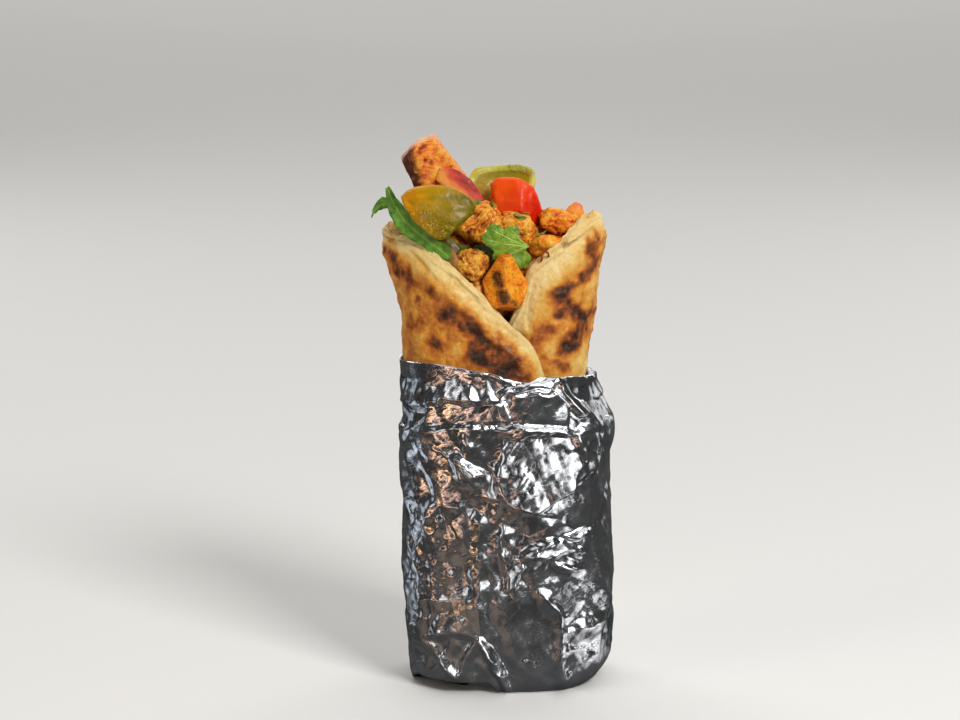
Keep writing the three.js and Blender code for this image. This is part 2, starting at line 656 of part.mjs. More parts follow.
// Front to back: each piece is cut clear of those before it in the list.
const PIECES = [
  {
    name: "cheese_front", form: chunk, finish: CHEESE, at: [-0.9, -15.2, 134.4], boxy: 9, crags: 0.03,
    seed: 2, detail: 4,
    sides: [
      [[0.66, 0.1, 0.7], 6.3],
      [[-0.62, 0.05, 0.78], 6.2],
      [[0.1, -0.9, 0.42], 8.2],
      [[0.86, 0.5, -0.1], 6.6],
      [[-0.84, 0.56, -0.1], 6.8],
      [[0, 0, -1], 6.5],
      [[0, 1, 0], 9.9],
      [[-0.95, -0.2, 0], 7.2],
      [[0.95, -0.3, 0], 7.4],
      [[0, -1, 0], 9.4],
    ],
  },
  {
    name: "chicken_low", form: chunk, finish: MEAT, at: [-11, -13.6, 140.6], size: [12, 12, 11],
    boxy: 3, facets: 6, crags: 0.1, roll: 20, yaw: -20, seed: 5,
  },
  {
    name: "chicken_under", form: chunk, finish: MEAT, at: [-10.4, -13.2, 131.6], size: [9.5, 8, 9],
    boxy: 2.8, facets: 6, crags: 0.14, seed: 8, detail: 2,
  },
  {
    name: "herb_leaf_front", form: slice, finish: HERB, at: [-0.2, -15.2, 147.4],
    thickness: 0.7, bow: 1.2, ripple: 0.7, lean: -6, yaw: 6, seed: 3, sectors: 44, steps: [0.5, 0.85],
    corners: [[6.9, -0.9], [4.7, 0.7], [3.4, 2.3], [3.8, 4.8], [1.8, 5.9], [-0.3, 5.9], [-1, 4.4],
      [-2.3, 5.9], [-4.8, 6.2], [-6.4, 5.3], [-6.6, 3.7], [-8, 2.7], [-7.3, 0.1], [-5.4, -1.1], [-4.2, -2.1],
      [-4.6, -4.7], [-2.9, -5.7], [-0.6, -3.6], [1.5, -4.5], [3.4, -7.3], [5.6, -8.2], [7.3, -6], [7.5, -3.7],
      [5.4, -2.2]],
  },
  {
    name: "herb_leaf_left", form: sprig, finish: HERB, thickness: 0.7,
    leaves: [
      {
        across: [0.75, -0.25, 0.6], cup: 0.3, steps: 16,
        line: [[-38.2, -9, 164.4], [-36.6, -9.4, 159.5], [-33, -11.5, 154], [-27.4, -14, 149.4],
          [-22.4, -15.6, 145.8], [-18.4, -16.4, 142.8]],
        widths: [[0, 1.6], [0.12, 3], [0.3, 5.2], [0.5, 6.4], [0.72, 4.4], [0.86, 5.6], [1, 1.8]],
      },
      {
        across: [0.1, -0.5, 0.85], cup: 0.25, steps: 9,
        line: [[-35.4, -9.6, 158], [-37.6, -8.4, 159], [-40.4, -7, 158.8], [-42.4, -6.6, 157],
          [-43.4, -6.6, 154.6]],
        widths: [[0, 1.6], [0.5, 5], [0.8, 3.4], [1, 1.2]],
      },
    ],
  },
  {
    name: "pepper_green_front", form: slice, finish: GREEN_PEPPER, at: [-22.8, -11.2, 156.2],
    thickness: 3, bow: 4.4, ripple: 0.5, lean: 14, yaw: -10, seed: 4, sectors: 30,
    corners: [[-12.2, 4.6], [-8.7, 7.6], [-3.2, 8.9], [2.6, 8.9], [8, 7.3], [11.8, 4.6], [13.4, 1.8],
      [11.4, -0.8], [7.2, -4.9], [4.9, -7.8], [2.3, -8.9], [-0.4, -7.8], [-2.4, -5.6], [-6.6, -2.8],
      [-9.2, 1]],
  },
  {
    name: "pepper_strip", form: slice, finish: GREEN_PEPPER, at: [-20.6, -9.6, 145.2],
    thickness: 2.0, bow: 0.8, ripple: 0.4, roll: -38, lean: 24, seed: 6, sectors: 16,
    corners: [[-7, 1], [-5, 3.6], [2, 4], [6.6, 2.4], [7, -1], [4, -3.8], [-3, -4]],
  },
  {
    name: "onion_low", form: slice, finish: PALE_ONION, at: [-17.4, -13.2, 140.9],
    thickness: 1.5, bow: 1.2, yaw: -40, roll: 16, seed: 7, sectors: 14, steps: [0.8],
    corners: [[-2.4, 2], [-1, 4.8], [1.6, 4.6], [3, 1], [2.8, -2.6], [0.8, -5], [-1.8, -4]],
  },
  {
    name: "herb_leaf_dark", form: slice, finish: HERB, at: [-6.4, -11.4, 143.6],
    thickness: 0.7, bow: 0.8, ripple: 0.6, lean: 14, seed: 9, steps: [0.7],
    corners: [[-5.4, 0.6], [-3.4, 2.6], [-1, 2.2], [1.4, 4], [3.4, 2.8], [3.2, 0], [2.8, -3.2], [0.6, -3.8],
      [-1.4, -2.4], [-4, -2.2]],
  },
  {
    name: "chicken_right_low", form: chunk, finish: MEAT, at: [12.6, -8.4, 145], size: [15, 9, 9.5],
    boxy: 5, facets: 8, crags: 0.12, roll: 10, seed: 12,
  },
  {
    name: "chicken_right_top", form: chunk, finish: MEAT, at: [16.8, -3.4, 151.6], size: [15, 9, 10],
    boxy: 6, facets: 8, crags: 0.14, grain: 2.2, roll: -10, seed: 14,
  },
  {
    name: "chicken_middle", form: chunk, finish: MEAT, at: [-8.8, -6, 151.4], boxy: 7, crags: 0.1, grain: 2.4,
    seed: 16,
    sides: [
      [[0.7, 0.62, 0.35], 5.4],
      [[-0.62, 0.78, 0.2], 5.4],
      [[-0.5, -0.84, 0.2], 4.6],
      [[0.75, -0.6, 0.3], 5.2],
      [[-1, 0, 0], 8.2],
      [[1, 0, 0], 7.4],
      [[0, 1, 0], 7.6],
      [[-0.2, 0.35, 0.9], 4.8],
      [[0.2, -0.3, 0.92], 4.6],
      [[0, 0, -1], 5],
    ],
  },
  {
    name: "chicken_inner", form: chunk, finish: MEAT, at: [3.2, -4.8, 150.6], size: [15, 9, 9.5],
    boxy: 6, facets: 8, crags: 0.16, grain: 2, roll: -16, seed: 18,
  },
  {
    name: "onion_notch", form: slice, finish: ONION, at: [7.2, -13, 138.4],
    thickness: 1.4, bow: 0.9, roll: -24, yaw: 30, seed: 10, sectors: 12, steps: [0.8],
    corners: [[-2, 1], [-0.6, 4], [1.4, 3.8], [2.2, 0.4], [1.4, -3.6], [-0.8, -4]],
  },
  {
    name: "chicken_shred", form: chunk, finish: MEAT, at: [25.4, -4.2, 152.4], size: [4.6, 9, 4],
    boxy: 2.6, facets: 5, crags: 0.2, roll: -34, seed: 20, detail: 2,
  },
  {
    name: "onion_right", form: slice, finish: ONION, at: [21.4, 1.6, 154.4],
    thickness: 3, bow: 1.6, lean: 8, seed: 11, sectors: 18, steps: [0.75],
    corners: [[1.1, 3.8], [-1.3, 2.8], [-3, 0.4], [-4, -2.4], [-1.4, -4.9], [2.7, -4.3], [3.4, -0.3],
      [2.8, 2.4]],
  },
  {
    name: "pepper_red", form: slice, finish: RED_PEPPER, at: [3.6, 1.6, 156.8],
    thickness: 4.4, bow: 2.4, fold: 0.28, ripple: 0.3, lean: 12, yaw: 8, seed: 13, sectors: 26,
    corners: [[-8.7, 0], [-8.5, 7.6], [-6.1, 9.5], [0, 9.1], [4.1, 6.9], [6.2, 3], [8.1, -2.3], [7.8, -5.4],
      [5.2, -7.3], [0, -6], [-6, -4]],
  },
  {
    name: "onion_left", form: slice, finish: ONION, at: [-15.8, 0.2, 163.4],
    thickness: 1.8, bow: 2.2, lean: 14, seed: 15, sectors: 26, steps: [0.5, 0.88],
    corners: [[-5.6, 6.6], [-3.6, 6.3], [0.6, 4.7], [4, 2], [7.2, -2.2], [8.9, -4.3], [6.9, -5.7],
      [3.2, -5.7], [-1, -3], [-4.3, -0.4], [-7.3, 1.2], [-6.6, 4.6]],
  },
  {
    name: "pepper_green_back", form: slice, finish: GREEN_PEPPER, at: [-0.8, 9.4, 160],
    thickness: 3.4, bow: -3.6, ripple: 0.4, lean: 28, seed: 17, sectors: 28,
    corners: [[-12.8, 0.8], [-12.4, 4.2], [-10, 7.7], [-6.4, 9.1], [-1.5, 9.7], [3.4, 9.9], [7.8, 8.8],
      [10, 7.3], [10.1, 4], [9.2, -0.8], [5, -5], [-8, -5]],
  },
  {
    name: "chicken_top", form: chunk, finish: MEAT, at: [-24.6, 6.6, 167.4], boxy: 11, crags: 0.04, seed: 22,
    detail: 4,
    sides: [
      [[0.81, 0.59, 0], 8],
      [[-0.4, 0.91, 0], 10.6],
      [[-0.82, 0.58, 0], 10.2],
      [[-0.865, -0.5, 0], 7],
      [[0, -1, 0], 9],
      [[0.6, -0.8, 0], 9.4],
      [[0.18, 0.12, 0.97], 6.6],
      [[-0.72, -0.1, 0.68], 7.6],
      [[0, 0, -1], 6.6],
    ],
  },
];

// ---------------------------------------------------------------- assembly

function meshOf(name, geometry, { color, roughness, metalness = 0 }) {
  const material = new THREE.MeshStandardMaterial({ color, roughness, metalness, flatShading: true });
  const mesh = new THREE.Mesh(geometry, material);
  mesh.name = name;
  return mesh;
}

const root = new THREE.Group();

root.add(meshOf("foil", foilGeometry(), { color: 0xc9cbcf, roughness: 0.25, metalness: 1 }));
root.add(meshOf("bread", breadGeometry(), { color: 0xd9a75c, roughness: 0.7 }));

root.add(meshOf("filling_core", coreGeometry(), { color: 0x6b3a1c, roughness: 0.7 }));

const cutters = [solidOf(breadGeometry(CLEARANCE)), solidOf(coreGeometry(CLEARANCE))];
for (const piece of PIECES) {
  const clear = cutClear(solidOf(piece.form(piece)), cutters);
  root.add(meshOf(piece.name, geometryOf(clear), piece.finish));
  cutters.push(solidOf(piece.form(piece, CLEARANCE)));
}

export default root;
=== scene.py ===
"""The looks of a kati roll standing on its foil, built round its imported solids.

Lengths in the formulas are millimetres, in the same frame as the solids; meshes are made in metres.
"""

import math

import bmesh
import bpy
import numpy as np
from mathutils import Matrix, Vector
from mathutils.bvhtree import BVHTree
from mathutils.geometry import delaunay_2d_cdt


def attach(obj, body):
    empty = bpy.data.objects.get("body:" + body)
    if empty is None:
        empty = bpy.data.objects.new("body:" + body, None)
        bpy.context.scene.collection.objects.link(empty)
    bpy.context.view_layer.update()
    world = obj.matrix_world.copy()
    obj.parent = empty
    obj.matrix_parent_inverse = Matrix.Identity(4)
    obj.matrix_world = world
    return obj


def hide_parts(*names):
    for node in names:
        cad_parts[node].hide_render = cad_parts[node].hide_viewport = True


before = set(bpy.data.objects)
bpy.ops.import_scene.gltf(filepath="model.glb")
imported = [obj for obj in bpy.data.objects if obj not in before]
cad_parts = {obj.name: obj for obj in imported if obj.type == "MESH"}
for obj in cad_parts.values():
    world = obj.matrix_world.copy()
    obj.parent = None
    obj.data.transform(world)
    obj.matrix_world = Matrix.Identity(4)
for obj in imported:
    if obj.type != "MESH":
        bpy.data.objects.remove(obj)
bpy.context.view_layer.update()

MM = 0.001
FAR = 1e3  # further than any two points lie apart
FULL_TURN = 2 * math.pi

# ---- driving dimensions ----

BREAD_THICKNESS = 4.0
LAP_GAP = 0.7
BREAD_BOTTOM = 6.0
BREAD_ARC_HEIGHT = 125  # where lengths round the bread are measured
FOIL_GAP = 0.6
FOIL_WALL = 0.4
FOIL_FLOOR = 5.2
FOIL_ARC_HEIGHT = 50

AXIS = [(6, 0), (16, 0), (60, -0.4), (80, -2.9), (95, -4.0), (105, -4.2), (125, -4.3), (160, -4.6)]

# Sections of an outline: height, reach to the left, to the right and to the front and back, squareness.
BREAD_SECTIONS = [
    (6, 28, 26, 18.5, 2.6), (16, 31, 31.5, 21.8, 2.6), (60, 32, 32.2, 22.6, 2.6), (80, 30.4, 32.8, 22.6, 2.5),
    (95, 29.3, 31, 22.5, 2.4), (105, 29.6, 29.8, 22.5, 2.35), (125, 31.2, 33.2, 22.6, 2.05),
    (149, 36.8, 36.6, 22, 1.65), (160, 38, 37.2, 21.6, 1.6),
]
FOIL_SECTIONS = [
    (0, 31.4, 27.4, 21.5, 2.6), (3, 32.4, 31.6, 23.2, 2.6), (8, 33, 34.6, 24, 2.6), (14, 33.2, 35.8, 24, 2.6),
    (27, 34, 35.8, 24, 2.6), (53, 34.6, 35.4, 24, 2.6), (67, 34.4, 35.6, 24, 2.55), (83, 32.4, 37.4, 24, 2.5),
    (90, 30.8, 36.8, 23.7, 2.45), (95, 29.9, 35, 23.4, 2.4), (101, 30.2, 31.8, 23.2, 2.4),
    (110, 30.5, 30.6, 23.2, 2.35),
]

# The bread's and the foil's top edges, (angle in degrees, height).
BREAD_TOP = [
    (-125, 78), (-97, 100), (-82, 115), (-70, 124), (-60, 131.8), (-56, 138), (-50, 141.1), (-30, 148.3),
    (-10, 155.4), (0, 155), (30, 151), (90, 148), (130, 150.3), (160, 152), (174, 151.2), (186, 149.2),
    (200, 148.6), (214, 145.8), (238, 138.4), (262, 130.7), (286, 121.6), (300, 116.4), (308, 109.5),
    (313, 101), (318, 90),
]
FOIL_TOP = [
    (0, 103), (60, 105), (120, 106), (180, 107.5), (225, 109.3), (250, 108.2), (268, 107), (290, 104.2),
    (307, 105.4), (340, 103.8), (360, 103),
]

# ---- numbers ----


def through(points, x):
    """A smooth curve through rising (x, y) points, level past its ends."""
    xs, ys = np.array(points, float).T
    last = len(xs) - 1
    before = np.maximum(np.arange(last + 1) - 1, 0)
    after = np.minimum(np.arange(last + 1) + 1, last)
    slopes = (ys[after] - ys[before]) / (xs[after] - xs[before])
    x = np.clip(x, xs[0], xs[-1])
    k = np.clip(np.searchsorted(xs, x, side="left") - 1, 0, last - 1)
    width = xs[k + 1] - xs[k]
    t = (x - xs[k]) / width
    a, b = slopes[k] * width, slopes[k + 1] * width
    y0, y1 = ys[k], ys[k + 1]
    return y0 + t * (a + t * (3 * (y1 - y0) - 2 * a - b + t * (2 * (y0 - y1) + a + b)))


def smooth_step(value, start, end):
    t = np.clip((value - start) / (end - start), 0, 1)
    return t * t * (3 - 2 * t)


def falling(value, start, end):
    """A smooth step down from 1 to 0."""
    return smooth_step(-value, -end, -start)


def mix(a, b, share):
    return a + (b - a) * share


def lattice(i, j, k, seed):
    """Repeatable random numbers from 0 to 1 for lattice points."""
    s = np.sin(i * 127.1 + j * 311.7 + k * 74.7 + seed * 19.19) * 43758.5453
    return s - np.floor(s)


def noise(x, y, z, seed):
    """Smooth noise from -1 to 1."""
    x, y, z = np.broadcast_arrays(np.asarray(x, float), y, z)
    i, j, k = np.floor(x), np.floor(y), np.floor(z)
    u, v, w = (t * t * (3 - 2 * t) for t in (x - i, y - j, z - k))

    def edge(b, c):
        return mix(lattice(i, j + b, k + c, seed), lattice(i + 1, j + b, k + c, seed), u)

    return 2 * mix(mix(edge(0, 0), edge(1, 0), v), mix(edge(0, 1), edge(1, 1), v), w) - 1


def layered_noise(points, size, seed, octaves, gain=0.5, shift=17.3, ridged=False):
    """Noise of features `size` across and of ever finer ones on them."""
    total, weight = 0, 1
    for octave in range(octaves):
        value = noise(*(points * (2**octave / size) + shift * octave).T, seed + octave)
        total = total + weight * (0.6 - 2 * np.abs(value) if ridged else value)
        weight *= gain
    return total


def ridges(points, size, seed, octaves=3):
    """Sharp ridges about `size` apart, with finer ones on them, round zero."""
    return layered_noise(points, size, seed, octaves, 0.55, 11.7, True)


def facets(u, v, around, seed):
    """Flat triangular facets with sharp creases, from -1 to 1, that close after `around` cells."""
    i, j = np.floor(u), np.floor(v)
    x, y = u - i, v - j
    a, b, c, d = (
        2 * lattice(np.mod(i + right, around), j + up, 0, seed) - 1
        for right, up in ((0, 0), (1, 0), (0, 1), (1, 1))
    )
    rising = np.where(x > y, a + (b - a) * x + (d - b) * y, a + (c - a) * y + (d - c) * x)
    falling = np.where(x + y < 1, a + (b - a) * x + (c - a) * y, d + (c - d) * (1 - x) + (b - d) * (1 - y))
    return np.where(lattice(np.mod(i, around), j, 1, seed) < 0.5, rising, falling)


def beside(start, end, x, y):
    """How far along a segment the nearest place to each point is, from 0 to 1, and how far off that is."""
    (x0, y0), (x1, y1) = start, end
    dx, dy = x1 - x0, y1 - y0
    share = np.clip(((x - x0) * dx + (y - y0) * dy) / (dx * dx + dy * dy), 0, 1)
    return share, np.hypot(x - x0 - share * dx, y - y0 - share * dy)


CORE, FADE = 0.15, 1.35  # the shares of its reach where a patch starts to fade and where it ends


def patch_cover(patches, x, z):
    """How strongly points lie in patches, each its reach, its strength and a line of (x, z)."""
    cover = np.zeros_like(x)
    for reach, strength, line in patches:
        for start, end in zip(line, line[1:]):
            distance = beside(start, end, x, z)[1]
            shade = strength * (1 - smooth_step(distance, CORE * reach, FADE * reach))
            cover = np.maximum(cover, shade)
    return cover


# ---- outlines ----


def outline_curves(sections):
    """An outline's left, right, depth and squareness as curves over the height."""
    heights = [section[0] for section in sections]
    return [list(zip(heights, values)) for values in list(zip(*sections))[1:]]


BREAD_OUTLINE = outline_curves(BREAD_SECTIONS)
FOIL_OUTLINE = outline_curves(FOIL_SECTIONS)
FINE = 6001  # how many points an outline is measured with
BEHIND = 0.25  # the sine of the angle where an outline's back begins


def outline_radius(outline, angle, z):
    """How far an outline lies from its axis at an angle."""
    left, right, depth, square = (through(curve, z) for curve in outline)
    along, across = np.cos(angle), np.sin(angle)
    reach = np.where(along < 0, left, right)
    return (np.abs(along / reach) ** square + np.abs(across / depth) ** square) ** (-1 / square)


def axis_points(angle, radius, z):
    angle, radius, z = np.broadcast_arrays(angle, radius, z)
    return np.stack([through(AXIS, z) + radius * np.cos(angle), radius * np.sin(angle), z], -1)


def arc_length(outline, z, angle):
    """How far round an outline an angle lies, from angle 0."""
    fine = np.linspace(-math.pi, FULL_TURN, FINE)
    radius = outline_radius(outline, fine, z)
    steps = np.hypot(np.diff(radius * np.cos(fine)), np.diff(radius * np.sin(fine)))
    lengths = np.concatenate([[0], np.cumsum(steps)])
    return np.interp(angle, fine, lengths - np.interp(0, fine, lengths))


def even_angles(outline, z, start, end, count, back_step):
    """Angles from start to end whose points lie evenly on an outline, `back_step` times wider behind."""
    fine = np.linspace(start, end, FINE)
    weights = np.where(np.sin((fine[1:] + fine[:-1]) / 2) > BEHIND, 1 / back_step, 1)
    travelled = np.concatenate([[0], np.cumsum(np.diff(arc_length(outline, z, fine)) * weights)])
    return np.interp(np.linspace(0, travelled[-1], count), travelled, fine)


# ---- meshes ----


def grid_faces(rows, columns, closed):
    """Quads of a grid of points that is stored row by row."""
    j = np.arange(columns if closed else columns - 1)
    starts = np.arange(rows - 1)[:, None] * columns
    a = starts + j
    b = starts + (j + 1) % columns
    return np.stack([a, b, b + columns, a + columns], -1).reshape(-1, 4)


def tube_faces(rows, columns):
    """Faces of rows of points that each close into a ring, with the first and the last ring filled."""
    faces = grid_faces(rows, columns, True).tolist()
    faces.append(list(range(columns))[::-1])
    faces.append([(rows - 1) * columns + j for j in range(columns)])
    return faces


def strip_faces(rows, columns):
    """Faces of a strip whose columns of points each close into a ring, with its two ends."""
    last = (rows - 1) * columns
    faces = grid_faces(rows, columns, False)[:, ::-1].tolist()
    faces += [[j, j + 1, last + j + 1, last + j] for j in range(columns - 1)]
    faces.append([row * columns for row in range(rows)])
    faces.append([row * columns + columns - 1 for row in reversed(range(rows))])
    return faces


def linked(name, data):
    obj = bpy.data.objects.new(name, data)
    bpy.context.scene.collection.objects.link(obj)
    return obj


def shade_smooth(mesh):
    mesh.polygons.foreach_set("use_smooth", np.ones(len(mesh.polygons), bool))


def mesh_object(name, points, faces):
    """A smooth shaded object from points in millimetres."""
    mesh = bpy.data.meshes.new(name)
    mesh.from_pydata((np.asarray(points) * MM).tolist(), [], [list(map(int, face)) for face in faces])
    mesh.update()
    shade_smooth(mesh)
    return linked(name, mesh)


def paint(obj, name, values):
    """Keeps a number per vertex for the material."""
    attribute = obj.data.attributes.new(name, "FLOAT", "POINT")
    attribute.data.foreach_set("value", np.asarray(values, np.float32).ravel())


def joined(name, parts):
    """One object of several parts, each (points, faces, {attribute: values})."""
    faces = []
    count = 0
    for points, part_faces, _ in parts:
        faces += [[count + corner for corner in face] for face in part_faces]
        count += len(points)
    obj = mesh_object(name, np.concatenate([points for points, _, _ in parts]), faces)
    for key in parts[0][2]:
        paint(obj, key, np.concatenate([values[key].ravel() for _, _, values in parts]))
    return obj


def vectors(items, key):
    values = np.zeros(len(items) * 3, np.float32)
    items.foreach_get(key, values)
    return values.reshape(-1, 3).astype(float)


def vertex_points(obj):
    return vectors(obj.data.vertices, "co") / MM


def push_out(obj, points, height):
    """Moves an object's points along its normals."""
    moved = points + vectors(obj.data.vertex_normals, "vector") * height[:, None]
    obj.data.vertices.foreach_set("co", (moved * MM).astype(np.float32).ravel())
    obj.data.update()


def finer_copy(node, voxel, smoothing):
    """A copy of a solid's mesh, remeshed finely and with its facets smoothed away."""
    obj = linked(node + "_skin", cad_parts[node].data.copy())
    obj.data.materials.clear()
    remesh = obj.modifiers.new("Remesh", "REMESH")
    remesh.mode = "VOXEL"
    remesh.voxel_size = voxel * MM
    smooth = obj.modifiers.new("Smooth", "SMOOTH")
    smooth.factor = 0.5
    smooth.iterations = smoothing
    mesh = bpy.data.meshes.new_from_object(obj.evaluated_get(bpy.context.evaluated_depsgraph_get()))
    obj.modifiers.clear()
    obj.data = mesh
    shade_smooth(mesh)
    return obj


def unit_ball(subdivisions):
    ball = bmesh.new()
    bmesh.ops.create_icosphere(ball, subdivisions=subdivisions, radius=1)
    points = np.array([vertex.co[:] for vertex in ball.verts])
    faces = np.array([[vertex.index for vertex in face.verts] for face in ball.faces])
    ball.free()
    return points, faces


def placing(at, roll=0, lean=0, yaw=0):
    """A piece's own X and Y lie in the picture and its Z faces the viewer."""
    turns = Matrix.Rotation(math.radians(yaw), 4, "Z") @ Matrix.Rotation(math.radians(90 - lean), 4, "X")
    return Matrix.Translation(at) @ turns @ Matrix.Rotation(math.radians(roll), 4, "Z")


def settle(obj, place):
    """Takes an object's points to its place, which is in millimetres."""
    obj.data.transform(Matrix.Scale(MM, 4) @ place @ Matrix.Scale(1 / MM, 4))
    return obj


def finish_piece(obj, material, slot, *nodes):
    """Gives a piece its material, and lets it stand for CAD nodes."""
    obj.data.materials.append(material)
    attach(obj, "root")
    if nodes:
        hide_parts(*nodes)


# ---- materials ----


def linear(tint):
    """A linear colour with alpha from sRGB values of 0 to 255. One that has its alpha is linear already."""
    if len(tint) == 4:
        return tint
    shares = [value / 255 for value in tint]
    return (*(s / 12.92 if s <= 0.04045 else ((s + 0.055) / 1.055) ** 2.4 for s in shares), 1)


def halfway(first, second):
    """The linear colour halfway between two sRGB ones."""
    return tuple(mix(a, b, 0.5) for a, b in zip(linear(first), linear(second)))


class Shade:
    """A material under construction."""

    def __init__(self, name, **settings):
        self.material = bpy.data.materials.new(name)
        self.material.use_nodes = True
        self.nodes = self.material.node_tree.nodes
        self.shader = self.nodes["Principled BSDF"]
        self.set(**settings)
        self.place = self.vector("SCALE", self.add("TexCoord", {}, "Object"), Scale=1 / MM)

    def feed(self, socket, value):
        if isinstance(value, bpy.types.NodeSocket):
            self.material.node_tree.links.new(value, socket)
        else:
            socket.default_value = linear(value) if socket.type == "RGBA" else value

    def add(self, kind, inputs, output=0, **settings):
        """Adds a node and returns one of its outputs."""
        node = self.nodes.new("ShaderNode" + kind)
        for key, value in settings.items():
            setattr(node, key, value)
        for key, value in inputs.items():
            self.feed(node.inputs[key], value)
        return node.outputs[output]

    def math(self, operation, *values):
        return self.add("Math", dict(enumerate(values)), operation=operation)

    def times(self, first, second):
        return self.math("MULTIPLY", first, second)

    def vector(self, operation, *values, output=0, **inputs):
        return self.add("VectorMath", {**dict(enumerate(values)), **inputs}, output, operation=operation)

    def turned(self, turn, stretch):
        """Coordinates turned by degrees and divided by a stretch along each turned axis."""
        rotated = self.add("Mapping", {"Vector": self.place, "Rotation": [math.radians(t) for t in turn]})
        return self.add("Mapping", {"Vector": rotated, "Scale": [1 / s for s in stretch]})

    def noise(self, size, detail=3, rough=0.5, warp=0, place=None, output=0):
        inputs = {"Scale": 1 / size, "Detail": detail, "Roughness": rough, "Distortion": warp}
        return self.add("TexNoise", {"Vector": place or self.place, **inputs}, output)

    def cells(self, size, feature="F1", place=None, output="Distance"):
        inputs = {"Vector": place or self.place, "Scale": 1 / size}
        return self.add("TexVoronoi", inputs, output, feature=feature)

    def known(self, name):
        return self.add("Attribute", {}, "Fac", attribute_name=name)

    def sum(self, *parts):
        """The sum of sockets, numbers and (socket, factor) pairs."""
        total = None
        for part in parts:
            scaled = self.times(*part) if isinstance(part, tuple) else part
            total = scaled if total is None else self.math("ADD", total, scaled)
        return total

    def span(self, value, low, high, to_low=0, to_high=1):
        """A value between low and high taken to between two others, and held there."""
        inputs = {"Value": value, "From Min": low, "From Max": high, "To Min": to_low, "To Max": to_high}
        return self.add("MapRange", inputs)

    def ramp(self, value, *stops):
        """Colours along a value, each stop a (place, colour) pair."""
        tint = self.add("ValToRGB", {"Fac": value})
        elements = tint.node.color_ramp.elements
        while len(elements) < len(stops):
            elements.new(0.5)
        for element, (place, stop_tint) in zip(elements, stops):
            element.position = place
            element.color = linear(stop_tint)
        return tint

    def blend(self, share, first, second, blend_type="MIX"):
        inputs = {0: share, 6: first, 7: second}
        return self.add("Mix", inputs, 2, data_type="RGBA", blend_type=blend_type)

    def warm(self, tint, blue):
        """A tint with only a share of its blue, as under the warm light of the photograph."""
        return self.blend(1, tint, (1, 1, blue, 1), "MULTIPLY")

    def bump(self, *layers, under=None):
        """Bumps from (height socket, distance in millimetres) pairs, one over another."""
        for height, distance in layers:
            inputs = {"Height": height, "Distance": distance * MM, "Strength": 1}
            under = self.add("Bump", inputs if under is None else {**inputs, "Normal": under})
        self.set(Normal=under)

    def set(self, **inputs):
        for key, value in inputs.items():
            self.feed(self.shader.inputs[key.replace("_", " ")], value)
        return self.material


# ---- bread ----

BREAD_COLUMNS = 440
BREAD_BACK_STEP = 1.5  # how much wider the columns are behind
HIDDEN_ROWS, OPEN_ROWS = 8, 112  # up to a share of the height that the foil hides, and above it
HIDDEN_SHARE = 0.55
RIM_ROWS = 24
INNER_SHARES = [*np.linspace(1, 0.9, 30), *np.linspace(0.88, 0, 6)]
RIM_DROP = 1.7  # how far under the top edge the rounded rim starts
TUCKED = 2.2  # how far the bread draws in under the foil's edge
LEFT_FLAP, RIGHT_FLAP = 150, 30  # degrees from and up to which the flaps' patches count

# Toasted patches on the front, each its reach, how dark it is and a line of (x, z). The left flap's and
# the right flap's are kept apart, because the flaps lap.
LEFT_TOAST = [
    (2.6, 0.55, [(-34.3, 138.5), (-31.1, 136.1), (-29.5, 134.5), (-26.2, 134)]),
    (2.2, 0.9, [(-31.6, 136.6), (-31, 135.6)]),
    (2.8, 0.65, [(-26, 133.4), (-24.8, 132.2)]),
    (3.6, 0.6, [(-24.6, 132.1), (-21.5, 129.8), (-19.2, 126.2), (-16.7, 123.1)]),
    (2.8, 0.85, [(-18.6, 126), (-16.2, 123)]),
    (3.8, 1.0, [(-14.5, 123.6), (-12, 121.6), (-8.8, 119.6), (-6.3, 116.7), (-2.5, 113.2), (0.7, 109.6)]),
    (4.6, 1.25, [(-8.6, 113.8), (-4.5, 112.2), (-1, 108.6), (1.6, 106)]),
    (1.6, 0.75, [(-28.8, 129.2), (-28.5, 128.2)]),
    (2.2, 0.6, [(-30.5, 121.8), (-30.2, 121)]),
    (1.8, 0.55, [(-27.6, 122.6), (-27.2, 121.4)]),
    (2.4, 0.72, [(-23.6, 116), (-22, 114.8)]),
    (2.6, 0.65, [(-32.4, 124.6), (-31.6, 123.6)]),
    (2.4, 0.9, [(-37.8, 142), (-36.8, 139), (-35.4, 135.9)]),
    (1.5, 0.75, [(-37.2, 147.1), (-36.2, 146)]),
]
RIGHT_TOAST = [
    (3.0, 0.85, [(27.5, 147), (27.6, 142), (25.4, 137.6), (21.5, 133.3)]),
    (3.6, 0.95, [(18.3, 132), (16.7, 128.9), (20.6, 125.3), (24.4, 122)]),
    (3.2, 1.15, [(20.2, 126.2), (24.6, 122.4), (23.8, 118.6)]),
    (3.6, 0.95, [(24, 119), (22, 115.4), (18.5, 114.6)]),
    (3.0, 0.75, [(16.7, 120.8), (10.3, 119.6), (7.1, 116.9), (9.5, 114)]),
    (3.2, 0.7, [(11.5, 109.1), (17, 107.7)]),
]
HALO = 2.3  # how much further than a toasted patch the gold round it reaches
HALO_STRENGTH = 0.75
LEFT_GOLD = [
    (13, 0.85, [(-29, 130), (-20, 120), (-16, 112), (-4, 106)]),
    (10, 0.8, [(-32, 114), (-22, 107)]),
]
RIGHT_GOLD = [(7, 0.5, [(24, 132), (21, 122), (12, 115), (13, 106)])]
for golds, toasts in (LEFT_GOLD, LEFT_TOAST), (RIGHT_GOLD, RIGHT_TOAST):
    golds += [(HALO * reach, HALO_STRENGTH * strength, line) for reach, strength, line in toasts]
# Thin layers inside the edge: their first and last angle in degrees, and how far in from the face.
EDGE_LAYERS = [(-54, -4, 4.1), (-50, 20, 4.9), (168, 292, 4.1), (176, 270, 4.9)]
